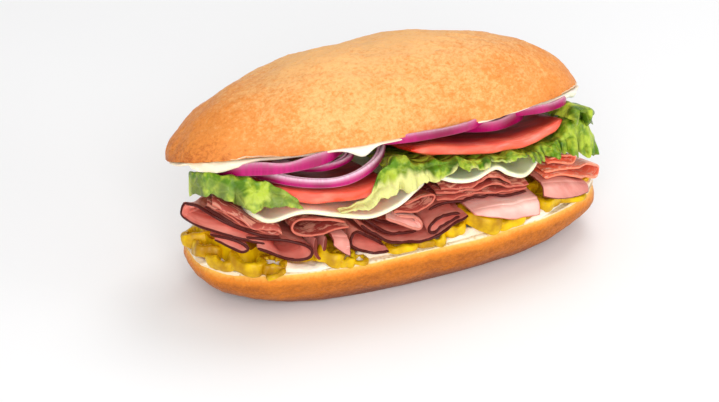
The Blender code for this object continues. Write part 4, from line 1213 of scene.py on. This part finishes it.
onion_material, onion_tree, onion_shader = new_material("red_onion", 0.26)
onion_place = surface_place(onion_tree)
onion_lines = grain(onion_tree, onion_place, 1.3, 2.0, stretch=(1.0, 0.05, 1.0))
onion_cloud = grain(onion_tree, onion_place, 18.0, 2.0, stretch=(1.0, 0.3, 1.0), offset=0.3)
onion_skin = blend(onion_tree, remap(onion_tree, onion_lines, 0.35, 0.65), colour(176, 10, 100),
                   colour(190, 18, 112))
onion_skin = blend(onion_tree, remap(onion_tree, onion_cloud, 0.45, 0.72), onion_skin,
                   colour(138, 8, 66))
onion_flesh = blend(onion_tree, remap(onion_tree, onion_lines, 0.35, 0.65), colour(250, 222, 234),
                    colour(242, 196, 218))
onion_tint = blend(onion_tree, mask_on(onion_tree, "skin"), onion_flesh, onion_skin)
paint(onion_tree, onion_shader, onion_tint)
onion_shader.inputs["Specular IOR Level"].default_value = 0.3
soften(onion_shader, 0.15, (0.005, 0.002, 0.003))
glaze(onion_shader, 0.08, 0.2)
emboss(onion_tree, onion_shader, onion_lines, 0.08, 0.3)


def onion_layer(centre, radius, level, lift, height, wall, seed, spread):
    """Points, faces, surface map and skin mask of one closed layer of a ring."""
    sweep = np.linspace(0.0, 2 * math.pi, ONION_STEPS, endpoint=False)
    section = np.array(ONION_SECTION)
    circle = np.stack([np.cos(sweep), np.sin(sweep)], axis=1)
    waver = 0.45 * ripple(circle * radius, 26.0, seed) * min(1.0, radius / 25.0)
    r = (radius + waver)[:, None] - section[:, 0] * wall
    tall = height * (1 + 0.10 * ripple(circle * radius, 30.0, seed + 1))
    here = level + lift * circle[:, :1] ** 2 + section[:, 1] * tall[:, None]
    x = centre[0] + r * circle[:, :1]
    y = centre[1] + r * circle[:, 1:]
    loops = np.stack([x, y, wedge_height(y, here)], axis=-1)
    rows, count = loops.shape[:2]
    faces = tube_faces(rows, count)
    run = np.broadcast_to((sweep * radius * MM)[:, None], (rows, count))
    rise = np.broadcast_to(np.arange(count) * 0.6 * MM + seed, (rows, count))
    skin = np.broadcast_to(section[:, 2] ** spread, (rows, count))
    return loops.reshape(-1, 3), faces, np.stack([run, rise], axis=-1).reshape(-1, 2), skin.ravel()


for seed, (onion_name, (centre, radius, level, lift, height)) in enumerate(ONIONS.items()):
    spread = SKIN_SPREAD.get(onion_name, USUAL_SPREAD)
    outer = onion_layer(centre, radius, level, lift, height, 0.56 * ONION_WALL, 7 * seed, spread)
    inner = onion_layer(centre, radius - 0.57 * ONION_WALL, level + 0.15, lift, height * 0.93,
                        0.43 * ONION_WALL, 7 * seed, spread)
    onion = make_piece(onion_name + "_ring", np.concatenate([outer[0], inner[0]]),
                       np.concatenate([outer[1], inner[1] + len(outer[0])]).tolist(),
                       onion_material, np.concatenate([outer[2], inner[2]]),
                       {"skin": np.concatenate([outer[3], inner[3]])})
    serve(onion, "red_onion", onion_name)

# Lettuce. Thin crisp leaves folded over at the front, bright yellow-green with
# pale ribs, ruffled along the torn edge; one more leaf closes the back.
LEAF_THICK = 0.9
CORNER_START = -96.0
CORNER_TUCK = 0.1
LEAF_STEPS_PER_MM = 2.4
LEAF_FRONT = -43.6
# Each leaf: crest, hem, reach to the back, how strongly it ruffles, the level
# its hidden part keeps under, and how pale its hem is
LETTUCE = {
    "lettuce_1": (((-105.5, 59.0), (-98.0, 57.6), (-89.0, 55.2), (-78.0, 51.2), (-64.0, 40.5)),
                  ((-105.5, 42.5), (-99.0, 45.6), (-93.0, 43.4), (-86.0, 37.2), (-72.0, 37.0),
                   (-64.0, 37.0)),
                  ((-105.5, 0.6), (-86.0, 0.6), (-78.5, -1.03), (-64.0, -1.03)), 1.0, 51.0, 0.15),
    "lettuce_2": (((-46.0, 31.2), (-38.0, 31.2), (-30.0, 36.0), (-28.0, 39.6), (-20.0, 49.6),
                   (-12.0, 50.8), (-8.0, 46.2), (4.0, 44.6), (22.0, 41.4), (38.0, 39.4),
                   (50.0, 38.8)),
                  ((-46.0, 30.2), (-38.0, 28.8), (-28.0, 31.2), (-24.0, 32.6), (-16.0, 34.6),
                   (2.0, 36.4), (13.0, 38.4), (28.0, 38.2), (50.0, 37.0)),
                  ((-46.0, -1.0), (-20.0, -1.03), (-15.0, 0.5), (50.0, 0.7)), 0.3, 46.8, 1.0),
    "lettuce_3": (((52.0, 37.4), (62.0, 38.6), (72.0, 40.5), (79.0, 48.5), (88.0, 46.5),
                   (96.0, 33.0)),
                  ((52.0, 35.0), (60.0, 33.8), (70.0, 32.6), (80.0, 29.5), (96.0, 22.5)),
                  ((52.0, 0.6), (72.0, 0.6), (96.0, 0.4)), 0.9, 60.0, 0.25),
}
# The frilled end of a leaf at the right, and the leaf that closes the back:
# crest, hem, where it starts and hangs across the roll, ruffle, paleness
FRILLS = {
    "lettuce_4": (((76.0, 52.0), (81.0, 56.0), (87.0, 55.8), (92.5, 51.0)),
                  ((76.0, 48.2), (81.0, 47.0), (86.0, 45.5), (92.5, 42.0)),
                  (-0.5, -1.12), 1.7, 0.1),
    "lettuce_5": (((-84.0, 57.4), (-50.0, 58.6), (0.0, 58.6), (50.0, 58.6), (84.0, 57.4)),
                  ((-84.0, 44.0), (-60.0, 37.0), (-20.0, 42.0), (30.0, 37.0), (62.0, 41.0),
                   (84.0, 38.0)), (0.80, 1.08), 1.2, 0.1),
}

leaf_material, leaf_tree, leaf_shader = new_material("lettuce", 0.34)
leaf_place = object_place(leaf_tree)
leaf_cells = add_node(leaf_tree, "ShaderNodeTexVoronoi", {"Vector": leaf_place, "Scale": 1 / 0.008},
                      feature="DISTANCE_TO_EDGE")
leaf_veins = remap(leaf_tree, leaf_cells.outputs["Distance"], 0.0, 0.10, 1.0, 0.0)
leaf_cloud = grain(leaf_tree, leaf_place, 10.0, 3.0)
leaf_fine = grain(leaf_tree, leaf_place, 2.5, 3.0, offset=0.4)
leaf_shade = maths(leaf_tree, "ADD", leaf_cloud, maths(leaf_tree, "MULTIPLY", leaf_fine, 0.35))
leaf_blade = blend(leaf_tree, remap(leaf_tree, leaf_shade, 0.56, 0.80), colour(180, 200, 60),
                   colour(92, 134, 14))
# Painted shade: the blade turns dark green in its folds and creases
leaf_blade = blend(leaf_tree, mask_on(leaf_tree, "fold"), leaf_blade, colour(50, 82, 4))
leaf_ground = blend(leaf_tree, mask_on(leaf_tree, "pale"), leaf_blade, colour(222, 220, 138))
leaf_tint = blend(leaf_tree, maths(leaf_tree, "MULTIPLY", leaf_veins, 0.10), leaf_ground,
                  colour(206, 220, 104))
paint(leaf_tree, leaf_shader, leaf_tint)
leaf_shader.inputs["Specular IOR Level"].default_value = 0.2
soften(leaf_shader, 0.15, (0.002, 0.003, 0.0005))
glaze(leaf_shader, 0.05, 0.2)
leaf_blisters = maths(leaf_tree, "MULTIPLY", leaf_cells.outputs["Distance"], 2.6)
leaf_height = maths(leaf_tree, "ADD", leaf_blisters, grain(leaf_tree, leaf_place, 4.0, 2.0))
emboss(leaf_tree, leaf_shader, leaf_height, 1.5, 0.8)

# Deep creases in each leaf, by their place along the roll, and their size in mm
CREASES = {"lettuce_1": (-97.5, -88.5, -78.0), "lettuce_2": (-16.0, -1.0, 15.0, 31.0),
           "lettuce_3": (60.0, 70.5, 81.0, 89.0), "lettuce_4": (80.5, 87.0),
           "lettuce_5": (-60.0, -35.0, -12.0, 14.0, 41.0, 66.0)}
CREASE_HALF = 1.7
CREASE_DEPTH = 3.6


def ruffled_leaf(name, x, profile, swing, seed, pale):
    """A leaf from its profiles, creased and swung in and out towards its hem."""
    middle, lengths = curtain_grid(x, profile, seed, wave=0.4)
    hang = np.clip((lengths - lengths[:, -1:] + 16.0) / 16.0, 0, 1) ** 1.6
    steer = on_line(x)
    curl = ripple(steer, 8.5, seed + 3)[:, None] + 0.6 * ripple(steer, 3.6, seed + 4)[:, None]
    curl = curl + 0.5 * ripple(middle * (1.0, 0.3, 0.6), 7.0, seed + 8)
    middle[..., 1] += swing * curl * hang
    crease = sum(np.exp(-((x - at) / CREASE_HALF) ** 2) for at in CREASES[name])[:, None]
    middle[..., 1] += CREASE_DEPTH * crease * hang
    # Painted shade: the fold mask darkens the inward curls and creases, where shade falls
    fold = np.clip(0.15 + 0.6 * curl + crease, 0, 1) * hang ** 0.5
    middle[..., 2] += 0.35 * swing * ripple(middle * (1.0, 1.0, 0.5), 6.0, seed + 5) * hang
    middle[..., 2] += 0.35 * ripple(middle, 9.0, seed + 6)
    middle[..., 1] += 1.3 * ripple(middle * (1.0, 0.3, 0.45), 13.0, seed + 7) * hang ** 0.5
    surface = laid_flat(x, lengths)
    stem = 8.5 * np.clip((12.0 - x) / 24.0, 0.15, 1)[:, None]
    below = pale * np.clip((stem - (lengths[:, -1:] - lengths)) / 2.0 + 0.25 * curl, 0, 1)
    leaf = sheet_solid(name + "_leaf", middle[:, ::-1], LEAF_THICK, leaf_material,
                       surface[:, ::-1], {"pale": below[:, ::-1], "fold": fold[:, ::-1]})
    serve(leaf, "lettuce", name)


def leaf_places(crest):
    """Places along the roll at which a leaf is drawn, as numbers and as points."""
    first, last = crest[0][0], crest[-1][0]
    x = np.linspace(first, last, int((last - first) * LEAF_STEPS_PER_MM))
    return x, on_line(x)


for seed, (leaf_name, leaf_table) in enumerate(LETTUCE.items()):
    crest, hem, reach, frill, ceiling, pale = leaf_table
    x, steer = leaf_places(crest)
    tops = level_at(crest, x) + 0.5 * ripple(steer, 9.0, seed + 90)
    lows = level_at(hem, x) + 0.45 * ripple(steer, 8.0, seed + 91)
    lows = lows + 0.22 * ripple(steer, 2.8, seed + 89)
    backs = np.interp(x, *np.array(reach).T) * FILLING_HALF_WIDTH
    fronts = CORNER_TUCK * np.maximum(0.0, CORNER_START - x) ** 2 + LEAF_FRONT
    waves = frill * np.sin(0.62 * x)
    profile = []
    for top, low, deep, front, wave in zip(tops, lows, backs, fronts, waves):
        inner = min(top, ceiling)
        run, fall = front - deep, top - low
        profile.append(((deep, inner - 0.6), (deep + 0.6 * run, inner - 0.2),
                        (deep + 0.95 * run, top), (front - 0.3, top - 0.3 * fall),
                        (front - 2.6 + wave, top - 0.65 * fall),
                        (front - 3.4 + 1.6 * wave, low)))
    ruffled_leaf(leaf_name, x, profile, 0.9 * frill, 7 * seed + 92, pale)

for seed, (leaf_name, (crest, hem, (start, end), frill, pale)) in enumerate(FRILLS.items()):
    x, steer = leaf_places(crest)
    tops = level_at(crest, x) + 0.5 * ripple(steer, 8.0, seed + 130)
    lows = level_at(hem, x) + 0.5 * ripple(steer, 6.0, seed + 131)
    inner, outer = start * FILLING_HALF_WIDTH, end * FILLING_HALF_WIDTH
    profile = []
    for top, low, wave in zip(tops, lows, frill * np.sin(0.7 * x)):
        fall = top - low
        profile.append(((inner, top - 0.4), (0.5 * (inner + outer), top),
                        (outer, top - 0.25 * fall), (outer + wave, top - 0.6 * fall),
                        (outer - 0.6 * wave, low)))
    ruffled_leaf(leaf_name, x, profile, 0.8 * frill, 9 * seed + 132, pale)
